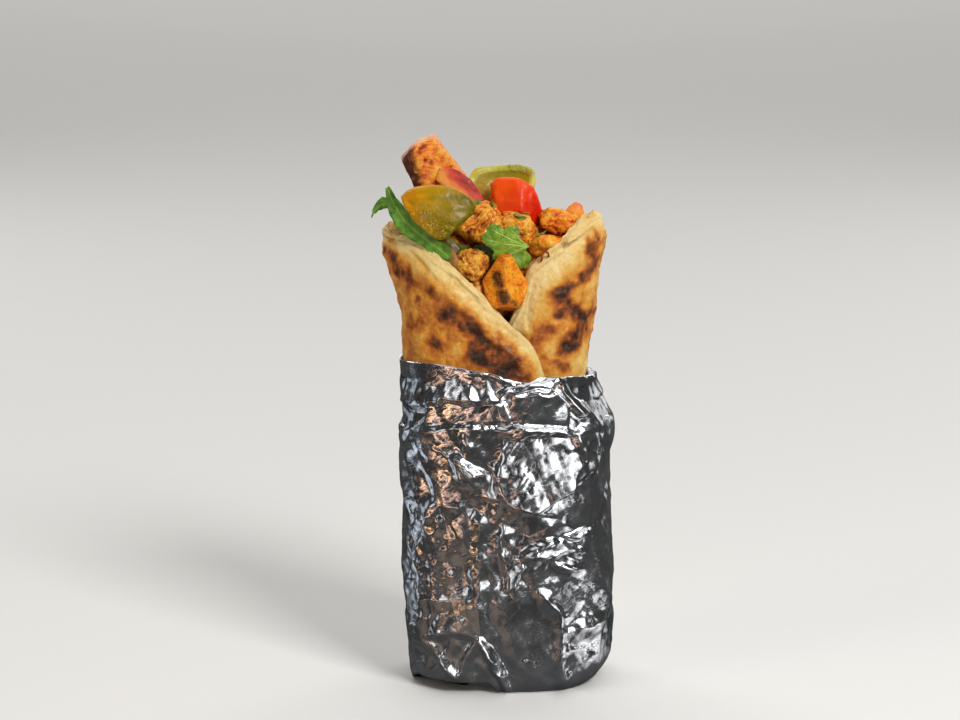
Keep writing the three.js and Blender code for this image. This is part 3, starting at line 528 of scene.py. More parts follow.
# The crust's colours along its heat.
BAKED = [
    (0.02, (242, 212, 158)), (0.15, (232, 184, 104)), (0.28, (222, 152, 54)), (0.42, (202, 118, 28)),
    (0.58, (162, 80, 16)), (0.77, (108, 50, 14)), (0.98, (54, 26, 12)),
]


def flap_radius(angle, z):
    """The bread's outer face: the right flap is tucked under the left one, which lifts off it a little."""
    degrees = np.degrees(angle)
    tuck = (BREAD_THICKNESS + LAP_GAP) * falling(degrees, -76, -30)
    lift = 0.9 * smooth_step(degrees, 255, 300) * smooth_step(z, 105, 112)
    return outline_radius(BREAD_OUTLINE, angle, z) - tuck + lift


def bread_relief(arc, z, depth):
    """How far the bread's face stands out. `depth` is the distance under its free edge."""
    broad = 0.5 * noise(arc / 11, z / 15, 0, 21) + 0.35 * noise(arc / 5, z / 6, 3, 22)
    turned_in = -1.5 * (1 - smooth_step(depth, 0, 7)) + 0.45 * np.exp(-(((depth - 7.2) / 1.3) ** 2))
    warp = 1.6 * noise(arc / 9, depth / 6, 5, 23)
    pleat = 1 - 2 * np.abs(noise(arc / 15, (depth + warp) / 1.7, 7, 24))
    pleats = 0.42 * pleat * falling(depth, 4, 11)
    blisters = np.clip(noise(arc / 3.4, z / 3.0, 9, 25), 0.1, 1) - 0.1
    grain = 0.16 * noise(arc / 1.5, z / 1.3, 11, 26) + 0.09 * noise(arc / 0.8, z / 0.7, 13, 27)
    return broad + turned_in + pleats + 0.6 * blisters + grain


def rim_heights(top, arc, across):
    """The rounded rim's heights from its outer to its inner side, with torn layers that stand up."""
    off_middle = np.abs(2 * across - 1)
    layers = across * 4.3 + 0.8 * noise(arc / 14, 0, 0, 31) + 0.3 * noise(arc / 4, 0, 0, 34)
    ridge = 1 - 2 * np.abs(np.mod(layers, 1) - 0.5)
    standing = 0.5 + 0.9 * noise(np.floor(layers) * 3.7, arc / 5, 1, 32)
    crumbly = 0.3 * noise(across * 7, arc / 1.4, 2, 33)
    return top - 1.6 * off_middle**3.2 - 0.7 + (standing * ridge + crumbly) * (1 - off_middle**4)


def bread_mesh():
    start, end = math.radians(BREAD_TOP[0][0]), math.radians(BREAD_TOP[-1][0])
    angles = even_angles(BREAD_OUTLINE, BREAD_ARC_HEIGHT, start, end, BREAD_COLUMNS, BREAD_BACK_STEP)
    degrees = np.degrees(angles)
    arc = arc_length(BREAD_OUTLINE, BREAD_ARC_HEIGHT, angles)
    top = through(BREAD_TOP, degrees)
    hidden = np.linspace(0, HIDDEN_SHARE, HIDDEN_ROWS, endpoint=False)
    outer_shares = [*hidden, *np.linspace(HIDDEN_SHARE, 1, OPEN_ROWS)]
    outer_z, inner_z = (
        mix(BREAD_BOTTOM, top - RIM_DROP, np.array(shares)[:, None])
        for shares in (outer_shares, INNER_SHARES)
    )
    across = np.linspace(0, 1, RIM_ROWS + 2)[1:-1, None]
    rim_z = rim_heights(top, arc, across)
    z = np.concatenate([outer_z, rim_z, inner_z])
    share = np.concatenate([0 * outer_z, across + 0 * rim_z, 1 + 0 * inner_z])
    depth = np.maximum((top - z) / np.sqrt(1 + np.gradient(top, arc) ** 2), 0)

    shown = smooth_step(z, 101, 107)
    swell = 0.45 * noise(degrees / 26, z / 13, 0, 4) * smooth_step(z, 104, 110)
    outer = flap_radius(angles, z) + swell - TUCKED * falling(z, 99, 103)
    relief = (bread_relief(arc, z, depth) - 0.1) * shown
    radius = outer + relief * (1 - share) - share * BREAD_THICKNESS
    radius += 0.25 * noise(arc / 3, z / 3, 5, 35) * shown * share
    points = axis_points(angles, radius, z)
    obj = mesh_object("bread_wrap", points.reshape(-1, 3), strip_faces(*z.shape))

    wander_x, wander_z = (
        1.6 * noise(arc / 4, z / 4, k, 40 + k) + 0.9 * noise(arc / 1.8, z / 1.8, k, 44 + k) for k in (1, 2)
    )

    def on_flaps(left, right):
        place = points[..., 0] + wander_x, z + wander_z
        cover = np.where(degrees > LEFT_FLAP, patch_cover(left, *place), 0)
        return np.where(degrees < RIGHT_FLAP, patch_cover(right, *place), cover)

    behind = smooth_step(degrees, 10, 40) * falling(degrees, 160, 185)
    cloud = noise(arc / 9, z / 8, 4, 43) + 0.6 * noise(arc / 4, z / 3.6, 5, 44)
    back_toast = behind * smooth_step(cloud, 0.15, 0.95) * smooth_step(depth, 3, 9)
    back_gold = 0.8 * (behind * smooth_step(cloud, -0.8, 0.8))
    toast = np.maximum(on_flaps(LEFT_TOAST, RIGHT_TOAST), back_toast)
    gold = np.maximum(on_flaps(LEFT_GOLD, RIGHT_GOLD), back_gold)
    paint(obj, "toast", toast * (1 - share) * smooth_step(depth, 0.5, 3))
    paint(obj, "gold", gold * (1 - share) * smooth_step(depth, 1, 7))
    paint(obj, "edge", 1 - smooth_step(depth, 2.5, 9))
    paint(obj, "inside", share)
    return obj


def bread_layers():
    """Thin flaky layers that stand a little proud of the bread's edge on its inner side."""
    rows, columns = 8, 260
    parts = []
    for number, (start, end, inset) in enumerate(EDGE_LAYERS):
        degrees = np.linspace(start, end, columns)
        angle = np.radians(degrees)
        arc = arc_length(BREAD_OUTLINE, BREAD_ARC_HEIGHT, angle)
        fade = np.minimum(smooth_step(degrees, start, start + 6), falling(degrees, end - 6, end))
        ragged = 0.8 * noise(arc / 4, number, 0, 61) + 0.5 * noise(arc / 1.3, number, 1, 62)
        top = through(BREAD_TOP, degrees) - 1.1 + fade * (0.7 + ragged) - 0.4 * number
        z = top - np.linspace(0, 7, rows)[:, None]
        middle = flap_radius(angle, z) - inset + 0.25 * noise(arc / 5, z / 3, 2, 63)
        half = 0.3 * np.linspace(0.4, 1, rows)[:, None] ** 0.5
        outer, inner = (axis_points(angle, middle + side * half, z) for side in (1, -1))
        loop = np.concatenate([outer, inner[::-1]])
        inside = np.ones(loop.shape[:2])
        parts.append((loop.reshape(-1, 3), strip_faces(2 * rows, columns), {"inside": inside}))
    return joined("bread_layers", parts)


def bread_material():
    shade = Shade("flatbread", Subsurface_Weight=0.1, Subsurface_Scale=0.0015, Coat_Weight=0.12,
                  Coat_Roughness=0.25, Specular_IOR_Level=0.3)
    toast, gold, edge = (shade.known(key) for key in ("toast", "gold", "edge"))
    broken = shade.span(shade.noise(4.2, 4, 0.55), 0.34, 0.66)
    cloud = shade.span(shade.noise(7, 4, 0.6), 0.35, 0.65)
    freckles = shade.noise(0.9, 5, 0.65)
    bubbles = shade.span(shade.cells(1.9, "SMOOTH_F1"), 0.1, 0.6)
    core = shade.times(toast, shade.span(toast, 0.2, 0.9, 0.35, 1.15))
    charred = shade.times(core, shade.sum((broken, 0.4), (bubbles, -0.06), (cloud, 0.14)))
    golden = shade.times(gold, shade.sum((cloud, 0.42), (broken, 0.34), (bubbles, -0.1)))
    golden = shade.sum(golden, (gold, 0.22))
    fine_tone = shade.sum((cloud, 0.1), (freckles, 0.22), (edge, -0.06), -0.06)
    heat = shade.sum((toast, 0.32), (charred, 0.64), (golden, 0.64), fine_tone)
    flour = shade.span(shade.noise(1.6, 6, 0.7), 0.5, 0.7)
    pale = shade.times(flour, shade.span(edge, 0.1, 0.9, 0.08, 0.5))
    surface = shade.blend(pale, shade.ramp(heat, *BAKED), (247, 230, 192))
    crumb = shade.blend(shade.noise(1.2, 5), (226, 184, 120), (250, 228, 184))
    tint = shade.blend(shade.span(shade.known("inside"), 0.75, 1), surface, crumb)
    shade.bump((shade.noise(2.2, 7, 0.7), 0.7), (bubbles, 0.22), (freckles, 0.25))
    return shade.set(Base_Color=shade.warm(tint, 0.8), Roughness=shade.span(heat, 0.3, 0.8, 0.6, 0.36))


# ---- foil ----

FOIL_COLUMNS = 376
FOIL_ROWS = 244
FOIL_BACK_STEP = 1.9  # how much wider the columns are behind
BASE_SHARES = (0.04, 0.35, 0.7, 0.8, 0.9)  # the rings under the foil, as shares of its reach
INNER_DROPS = (0.45, 2, 5, 9, 14, 40, 75)  # how far under the top edge its inner rings lie
FOOT_LIFT = 3.9  # how far the foot is raised between the folded end's flange and its left corner
LAP_EDGE = (-0.45, 0.15)  # how far inside its outline a lap starts and covers wholly
JITTER = 0.9  # how far the corners of crumples stray, as a share of a cell
SAME = 1e-7  # corners closer than this, in cells, are one
SEAM_ANGLE = math.pi / 2  # behind, where the random crumples fade out
PRESSED_IN = 1.7  # how far the crumpled foil may dent the bread that it hides

# Ridges along lines of (x, z): how far each stands out, and how far it falls away to the left and to
# the right of its line's direction.
FRONT_FOLDS = [
    # the lip of the outer wrap
    (2.4, 2.2, 14, [(-34, 84), (-31, 87.5), (-15, 89.4), (-2, 88.4), (5, 90.2)]),
    (1.9, 2.2, 14, [(5, 90.2), (12, 88.4), (21, 86.4), (31, 88.7)]),
    # the lower edge of the collar, arched over the hollow
    (2.6, 9, 2, [(-31, 94.5), (-20, 98), (-2.5, 97.8)]),
    # the lapped corner
    (2.3, 4, 2, [(-4, 100.6), (4, 101.4), (12, 102.6), (17.3, 104.3)]),
    (2.0, 5, 3.5, [(17.3, 104.3), (20.6, 98.9), (26.4, 91), (30, 86)]),
    # the bright facets under the lip
    (1.6, 4, 2.5, [(-26.4, 82.7), (-18.4, 80.3), (-13.3, 71.8)]),
    (1.5, 3, 3, [(-20, 81.2), (-9.4, 74.2)]),
    (2.6, 11, 2, [(1.4, 85.7), (-2.4, 70.3), (1.4, 63.4), (7.2, 61.7)]),
    (2.2, 9, 2, [(7.2, 61.7), (18.4, 68.1), (28.2, 75.2)]),
    # the star of folds below the middle
    (1.8, 4, 2, [(-2.4, 53), (0.8, 36.8)]),
    (2.2, 2, 6, [(5.6, 47.5), (14.3, 51.5), (21, 49.7)]),
    (1.6, 3, 3, [(14.3, 48.2), (23.4, 41.7)]),
    (1.3, 3, 4, [(-9.4, 58), (-8.8, 20)]),
    # the crumpled band down the left
    (1.8, 2, 8, [(-22.3, 58), (-23, 45), (-24.4, 24.5), (-29, 16.5)]),
    # the folded end: an arched crease, a triangular flap and a flange that stands out
    (1.6, 6, 2.5, [(-28.4, 17.3), (-18.5, 21.6), (-9.4, 19)]),
    (1.9, 2, 2, [(-28.4, 17.3), (-16.3, 5.6)]),
    (1.6, 2, 2, [(-9.4, 19), (-16.3, 5.6)]),
    (3.2, 2, 2, [(-8.8, 19), (1.9, -1)]),
    # the crushed corner on the right
    (1.7, 3, 3, [(11.8, 33.6), (17.7, 25), (17.3, 2)]),
    (1.8, 2.5, 6, [(23.6, 21.6), (35, 23.7)]),
]
BACK_FOLDS = [
    # the end of the sheet, and the lip of the outer wrap
    (2.0, 2, 14, [(-4, 106), (1, 60), (7, 3)]),
    (1.9, 2.2, 12, [(-34, 85), (-12, 88.5), (8, 86), (34, 89)]),
    # loose folds
    (1.6, 7, 2.5, [(-30, 52), (-4, 66)]),
    (1.7, 3, 8, [(6, 60), (30, 44)]),
    (1.6, 8, 3, [(-26, 26), (2, 34)]),
    (1.8, 4, 6, [(8, 30), (28, 12)]),
]

# Flat laps of foil on the front, each the height of its middle, its slopes along x and z and the corners
# of its convex outline, (x, z).
FRONT_LAPS = [
    # the bright patch under the lip
    (0.9, -0.02, 0.2, [(-1, 85), (-3, 74), (-1.5, 66), (7, 61.5), (13, 64), (12, 86)]),
    (0.8, 0.12, 0.24, [(12, 86), (13, 64), (19, 67), (23, 76), (21, 86)]),
    (0.5, -0.22, 0.16, [(21, 86), (24, 77), (30, 80), (30, 86)]),
    # the star
    (1.7, 0.1, 0.26, [(-1.6, 52), (5, 43.5), (3.4, 36.5), (-0.3, 35.5)]),
    (2.0, -0.1, 0.3, [(6.4, 46.6), (14.5, 46.6), (21, 49.2), (15.3, 51.7)]),
    (1.6, 0.05, 0.28, [(13.5, 46.4), (22.8, 41.3), (17.4, 42)]),
    (1.5, 0.1, 0.3, [(18.3, 53.4), (22.7, 51.7), (27.6, 55.2)]),
    # the strip that runs down from the lip on the left
    (1.6, 0.25, 0.2, [(-20.4, 81.6), (-17.5, 82), (-8.6, 74), (-10.4, 72)]),
    # the hollow under the collar
    (0.7, 0.04, -0.22, [(1, 90.2), (1, 99.5), (14, 101), (19, 95), (18, 87.4), (9, 89.2)]),
    (0.5, 0, -0.08, [(-27, 90), (-26, 94.6), (-20, 96.6), (0.4, 96.6), (0.4, 90), (-4, 89), (-15, 90.2)]),
    # the collar's lapped strips and its smooth corner
    (2.0, 0.02, 0.3, [(-3.6, 100.9), (-2.6, 99.4), (17.4, 103.2), (17.2, 105.4)]),
    (0.7, 0.1, -0.12, [(17.2, 105.6), (16.8, 102.6), (22.6, 96.8), (30, 95.6), (30, 104)]),
    (1.9, -0.1, 0.24, [(15, 103), (21, 92.5), (24.2, 92.6), (17, 105)]),
]
# Where the front's crumples are weaker: (x, z), how wide and high, and by what share.
CALM_PLACES = [(-13, 70, 11, 12, 0.3), (3, 20, 12, 16, 0.6), (26, 40, 10, 13, 0.8), (2, 94, 22, 4, 0.4)]


def fold_heights(folds, x, z):
    height = np.zeros_like(x)
    for rise, above, below, line in folds:
        for (x0, z0), (x1, z1) in zip(line, line[1:]):
            distance = beside((x0, z0), (x1, z1), x, z)[1]
            reach = np.where((z - z0) * (x1 - x0) - (x - x0) * (z1 - z0) > 0, above, below)
            height = np.maximum(height, rise * (1 - distance / reach))
    return height


def lap_over(height, x, z):
    """Heights with the flat laps laid over them, and how much of each lap covers a point."""
    cover = np.zeros_like(x)
    for rise, slope_x, slope_z, corners in FRONT_LAPS:
        middle_x, middle_z = np.mean(corners, axis=0)
        edges = list(zip(corners, corners[1:] + corners[:1]))
        sign = 1 if sum((x1 - x0) * (z1 + z0) for (x0, z0), (x1, z1) in edges) > 0 else -1
        inside = np.full_like(x, FAR)
        for (x0, z0), (x1, z1) in edges:
            off = sign * ((x - x0) * (z1 - z0) - (z - z0) * (x1 - x0)) / math.hypot(x1 - x0, z1 - z0)
            inside = np.minimum(inside, off)
        share = smooth_step(inside, *LAP_EDGE)
        height = mix(height, rise + slope_x * (x - middle_x) - slope_z * (z - middle_z), share)
        cover = np.maximum(cover, share)
    return height, cover


def crumples(s, z, cell, seed):
    """Heights from -1 to 1 of irregular flat facets, `cell` wide and high, with sharp creases."""
    wide, high = cell
    rng = np.random.default_rng(seed)
    (low_s, high_s), (low_z, high_z) = (
        (values.min() - 2 * size, values.max() + 2 * size) for values, size in ((s, wide), (z, high))
    )
    counts = int((high_s - low_s) / wide) + 1, int((high_z - low_z) / high) + 1
    u, v = np.meshgrid(*map(np.arange, counts))
    u = low_s + (u + JITTER * rng.uniform(-0.5, 0.5, u.shape)) * wide
    v = low_z + (v + JITTER * rng.uniform(-0.5, 0.5, v.shape)) * high
    # Triangulated in cells, so that narrow facets stay narrow.
    sites = [Vector((a / wide, b / high)) for a, b in zip(u.ravel(), v.ravel())]
    places, _, triangles, *_ = delaunay_2d_cdt(sites, [], [], 0, SAME)
    heights = rng.uniform(-1, 1, len(places))
    tree = BVHTree.FromPolygons([(p.x, p.y, h) for p, h in zip(places, heights)], triangles)
    down = Vector((0, 0, -1))
    found = [
        tree.ray_cast(Vector((a, b, 2)), down)[0]
        for a, b in zip((s / wide).ravel(), (z / high).ravel())
    ]
    return np.array([0 if hit is None else hit.z for hit in found]).reshape(s.shape)


def slanting_crumples(s, z, degrees, cell, seed):
    """Long crumples that lean over to the right by some degrees."""
    along, across = math.cos(math.radians(degrees)), math.sin(math.radians(degrees))
    return crumples(s * along - z * across, s * across + z * along, cell, seed)


def coarse_folds(angle, z, x, front, sides, calm):
    """The foil's folds, broad facets and flat laps, and how much a lap covers each point."""
    fold_x, fold_z = (
        along + 0.8 * noise(x / 4, z / 4, k, 71 + k) + 0.3 * noise(x / 1.6, z / 1.6, k + 1, 72 + k)
        for along, k in ((x, 0), (z, 2))
    )
    fold = np.where(front, *(fold_heights(folds, fold_x, fold_z) for folds in (FRONT_FOLDS, BACK_FOLDS)))
    turn = angle / FULL_TURN
    broad = facets(turn * 11, z / 17 + 0.35 * np.sin(2 * angle), 11, 3)
    fine = facets(turn * 30, z / 6.3, 30, 8)
    coarse = (fold + (1.2 * broad + 0.45 * fine) * (1 - 0.7 * calm)) * (1 - 0.5 * sides) - 0.6
    lapped, cover = lap_over(coarse, fold_x, fold_z)
    return np.where(front, lapped, coarse), np.where(front, cover, 0)


def foil_relief(angle, z):
    x = axis_points(angle, outline_radius(FOIL_OUTLINE, angle, z), z)[..., 0]
    front = np.sin(angle) < 0
    sides = np.cos(angle) ** 4
    calm = front * sum(
        strength * np.exp(-(((x - at_x) / wide) ** 2) - ((z - at_z) / high) ** 2)
        for at_x, at_z, wide, high, strength in CALM_PLACES
    )
    coarse, cover = coarse_folds(angle, z, x, front, sides, calm)

    whole = arc_length(FOIL_OUTLINE, FOIL_ARC_HEIGHT, FULL_TURN)
    seam_place = arc_length(FOIL_OUTLINE, FOIL_ARC_HEIGHT, SEAM_ANGLE)
    s = np.mod(arc_length(FOIL_OUTLINE, FOIL_ARC_HEIGHT, angle) - seam_place, whole)
    seam = smooth_step(np.minimum(s, whole - s), 0, 5)
    collar = smooth_step(z, 91, 94)
    left_band = np.exp(-(((x + 29) / 6) ** 2)) * smooth_step(z, 8, 18) * falling(z, 54, 64) * front
    corner = smooth_step(x, 10, 22) * falling(z, 24, 32) * front
    busy = np.clip(0.85 + 0.5 * left_band + 0.6 * corner - 0.3 * cover, 0, 1.6)
    long = slanting_crumples(s, z, 32, (5, 17), 55) + 0.7 * slanting_crumples(s, z, -24, (4, 13), 56)
    tiny = crumples(s, z, (1.8, 2.1), 53)
    crumpled = crumples(s, z, (8, 10), 51) * (1 - 0.6 * cover) + 0.6 * long * (1 - 0.3 * cover)
    crumpled += 0.52 * crumples(s, z, (3.4, 4.4), 52) * busy + 0.17 * tiny * busy
    crumpled += 0.5 * crumples(s, z, (2.4, 6.5), 54) * collar * (1 - 0.6 * cover)
    crumpled += 0.35 * slanting_crumples(s, z, 40, (1.9, 8), 57) * cover + 0.25 * tiny * left_band
    return coarse + crumpled * seam * (1 - 0.15 * sides) * (1 - calm)


def softened(grid):
    """A grid of numbers blurred a little, closed round its columns."""
    grid = (np.roll(grid, 1, 1) + 2 * grid + np.roll(grid, -1, 1)) / 4
    padded = np.pad(grid, ((1, 1), (0, 0)), "edge")
    return (padded[:-2] + 2 * grid + padded[2:]) / 4


def foil_mesh():
    turn = even_angles(FOIL_OUTLINE, FOIL_ARC_HEIGHT, 0, FULL_TURN, FOIL_COLUMNS + 1, FOIL_BACK_STEP)[:-1]
    degrees = np.degrees(turn)
    bottom = FOOT_LIFT * smooth_step(degrees, 186, 204) * falling(degrees, 254, 264)
    top = through(FOIL_TOP, degrees)

    def inner_face(angle, height):
        return outline_radius(BREAD_OUTLINE, angle, np.maximum(height, BREAD_BOTTOM)) + FOIL_GAP

    z = mix(bottom, top, np.linspace(0, 1, FOIL_ROWS)[:, None])
    angle = np.broadcast_to(turn, z.shape)
    dented = PRESSED_IN * falling(z, 97, 103) * smooth_step(z, 6, 12)
    relief = foil_relief(angle, z) * smooth_step(z, -2, 6)
    rim = 0.5 * np.exp(-(((top - z - 0.9) / 0.7) ** 2))
    outer = outline_radius(FOIL_OUTLINE, angle, z) + relief + rim
    outer = np.maximum(outer, inner_face(angle, z) - dented + FOIL_WALL)

    under = outline_radius(FOIL_OUTLINE, turn, np.zeros_like(turn))
    rows = [
        axis_points(turn, under * share, bottom * smooth_step(share, 0.7, 1))[None]
        for share in BASE_SHARES
    ]
    rows.append(axis_points(angle, softened(outer), z))
    for drop in INNER_DROPS:
        height = np.maximum(top - drop, FOIL_FLOOR)
        inside = inner_face(turn, height) - PRESSED_IN * falling(height, 97, 103)
        rows.append(axis_points(turn, inside, height)[None])
    points = np.concatenate(rows)
    return mesh_object("foil_wrap", points.reshape(-1, 3), tube_faces(*points.shape[:2]))


def foil_material():
    """Foil crumpled into ever smaller flat facets, each cell of a pattern tilted its own way."""
    shade = Shade("aluminium_foil", Metallic=1.0)
    normal = shade.add("NewGeometry", {}, "Normal")
    bent = shade.vector("SCALE", shade.noise(9, 1, output="Color"), Scale=3)
    for size, tilt, turn, stretch in (
        (2.2, 0.09, (20, 35, 10), (1, 1, 1.9)),
        (1.1, 0.08, (-30, -40, 25), (1, 1, 1.6)),
    ):
        place = shade.vector("ADD", shade.turned(turn, stretch), bent)
        centred = shade.vector("SUBTRACT", shade.cells(size, place=place, output="Color"), (0.5, 0.5, 0.5))
        normal = shade.vector("ADD", normal, shade.vector("SCALE", centred, Scale=tilt))
    creases = shade.span(shade.cells(1.1, "DISTANCE_TO_EDGE", place), 0, 0.1)
    scratches = shade.noise(0.7, 4, 0.65)
    shade.bump((creases, 0.012), (scratches, 0.02), under=shade.vector("NORMALIZE", normal))
    tint = shade.blend(shade.noise(14), (222, 224, 228), (240, 241, 243))
    rough = shade.span(shade.noise(7, 4), 0.35, 0.65, 0.08, 0.2)
    return shade.set(Base_Color=tint, Roughness=rough)


bread_finish = bread_material()
finish_piece(bread_mesh(), bread_finish, "bread", "bread")
finish_piece(bread_layers(), bread_finish, "bread")
finish_piece(foil_mesh(), foil_material(), "foil", "foil")

# ---- filling ----


def along_axes(points, direction):
    """How far points lie along a direction and across it, two ways."""
    axis = np.array(direction) / np.linalg.norm(direction)
    side = np.cross(axis, (0.31, 0.9, 0.27))
    side /= np.linalg.norm(side)
    return points @ axis, points @ side, points @ np.cross(axis, side)


OFF_CORNER = 1e-4  # radians that keep an angle off the corners of a shape


def corner_reach(corners, angle):
    """How far a shape with these corners, (x, y), reaches from its middle at an angle."""
    dx, dy = np.cos(angle), np.sin(angle)
    reach = np.zeros_like(angle)
    for (x0, y0), (x1, y1) in zip(corners, corners[1:] + corners[:1]):
        across = dx * (y1 - y0) - dy * (x1 - x0)
        share = (dy * x0 - dx * y0) / across
        hit = (x0 * (y1 - y0) - y0 * (x1 - x0)) / across
        reach = np.maximum(reach, np.where((share >= 0) & (share <= 1), hit, 0))
    return reach


def block(node, seed, place, sides, boxy, crags):
    """A block between flat sides, each (direction, distance), with edges sharper than its solid's."""
    ball, faces = unit_ball(6)
    bound = 0
    for direction, distance in sides:
        normal = np.array(direction) / np.linalg.norm(direction)
        bound = bound + np.maximum(0, ball @ normal / distance) ** boxy
    rough = 1 + crags * noise(*(1.7 * ball + 9).T, seed)
    return settle(mesh_object(node + "_skin", ball * (rough * bound ** (-1 / boxy))[:, None], faces), place)


def meat_piece(node, fibre, strand=1.6, torn=0.3, flaky=0.6, lumps=0.5, pits=0.6, voxel=0.24, smoothing=6,
               swell=0.3, seed=1, char=(), cut=None):
    """A chunk torn into fibres along `fibre`, with lumps, pits and charred patches. `cut` gives a block."""
    obj = block(node, seed, *cut) if cut else finer_copy(node, voxel, smoothing)
    points = vertex_points(obj)
    along, across, third = along_axes(points, fibre)
    swirl = 1.2 * layered_noise(points, 6, seed + 9, 2)
    fibres = ridges(np.stack([along / 3 + swirl, across + swirl, third - swirl], -1), strand, seed + 5)
    flakes = ridges(points, 3.9, seed + 3, 2)
    lump = layered_noise(points, 5, seed, 3)
    pit = smooth_step(layered_noise(points, 2.6, seed + 7, 2), 0.35, 0.95)
    push_out(obj, points, swell + lumps * lump + torn * fibres + flaky * flakes - pits * pit)
    facing = falling(vectors(obj.data.vertex_normals, "vector")[:, 1], -0.4, 0.2)
    paint(obj, "char", patch_cover(char, points[:, 0], points[:, 2]) * facing)
    # The relief, pits low and ridges high, also sets the meat's tone: painted shade in the pits and hollows
    # and painted light on the ridges.
    paint(obj, "relief", 0.6 * fibres + 0.7 * flakes + 0.3 * lump - 1.2 * pit)
    return obj


def meat_material(name, tones, fibre=(0, 0, 0), spots=0.4, gloss=0.45, painted_relief_shade=1.0):
    """Spiced meat with four tones, pale to dark, and strands along a direction turned by degrees. Its relief
    adds painted shade in the pits and hollows and painted light on the ridges.
    """
    pale, main, deep, dark = tones
    shade = Shade(name, Subsurface_Weight=0.15, Subsurface_Scale=0.0015, Subsurface_Radius=(1, 0.45, 0.2),
                  Coat_Weight=0.3, Coat_Roughness=0.15, Specular_IOR_Level=0.3)
    strands = shade.noise(0.8, 5, 0.65, 0.8, shade.turned(fibre, (3.5, 1, 1)))
    cloud = shade.noise(3.4, 5, 0.6)
    # The relief adds painted shade in the hollows and painted light on the ridges.
    tone = shade.sum((strands, 0.9), (cloud, 0.55), (shade.known("relief"), 0.2 * painted_relief_shade), -0.2)
    bright = halfway(pale, (255, 226, 160))
    body = shade.ramp(tone, (0.14, dark), (0.27, deep), (0.44, main), (0.62, pale), (0.84, bright))
    specks = shade.times(shade.span(shade.cells(1.5), 0.22, 0.12), shade.span(cloud, 0.48, 0.58))
    burnt = shade.sum(shade.known("char"), (shade.noise(1.5, 6, 0.65), 1.6), (cloud, 0.4))
    dust = shade.math("MAXIMUM", shade.span(burnt, 1.35, 1.95), shade.times(specks, spots))
    tint = shade.blend(shade.times(dust, 0.92), body, dark)
    rough = shade.span(shade.noise(1.4), 0.3, 0.7, gloss - 0.16, gloss + 0.16)
    shade.bump((strands, 0.6), (shade.noise(0.5, 4, 0.65), 0.2))
    return shade.set(Base_Color=shade.warm(tint, 0.3), Roughness=rough)


# The sides of the two blocks, (direction, distance) in their own axes.
CHEESE_SIDES = [
    ((0.66, 0.1, 0.7), 6.3), ((-0.62, 0.05, 0.78), 6.2), ((0.1, -0.9, 0.42), 8.2), ((0.86, 0.5, -0.1), 6.6),
    ((-0.84, 0.56, -0.1), 6.8), ((0, 0, -1), 6.5), ((0, 1, 0), 9.9), ((-0.95, -0.2, 0), 7.2),
    ((0.95, -0.3, 0), 7.4), ((0, -1, 0), 9.4),
]
TOP_SIDES = [
    ((0.81, 0.59, 0), 8), ((-0.4, 0.91, 0), 10.6), ((-0.82, 0.58, 0), 10.2), ((-0.865, -0.5, 0), 7),
    ((0, -1, 0), 9), ((0.6, -0.8, 0), 9.4), ((0.18, 0.12, 0.97), 6.6), ((-0.72, -0.1, 0.68), 7.6),
    ((0, 0, -1), 6.6),
]
# Tones of meat, from pale to dark.
SPICED = (255, 164, 56), (242, 112, 22), (168, 56, 12), (66, 18, 8)
GRILLED = (255, 176, 84), (230, 122, 34), (146, 62, 14), (52, 18, 8)
TANNED = (244, 172, 96), (202, 108, 40), (100, 40, 16), (34, 12, 8)
CHEESE = (255, 168, 40), (236, 116, 20), (172, 68, 14), (40, 12, 6)
SCORCHED = (255, 168, 96), (240, 122, 50), (190, 70, 24), (70, 14, 4)
MINCED = (216, 124, 46), (150, 70, 22), (82, 34, 14), (34, 15, 9)
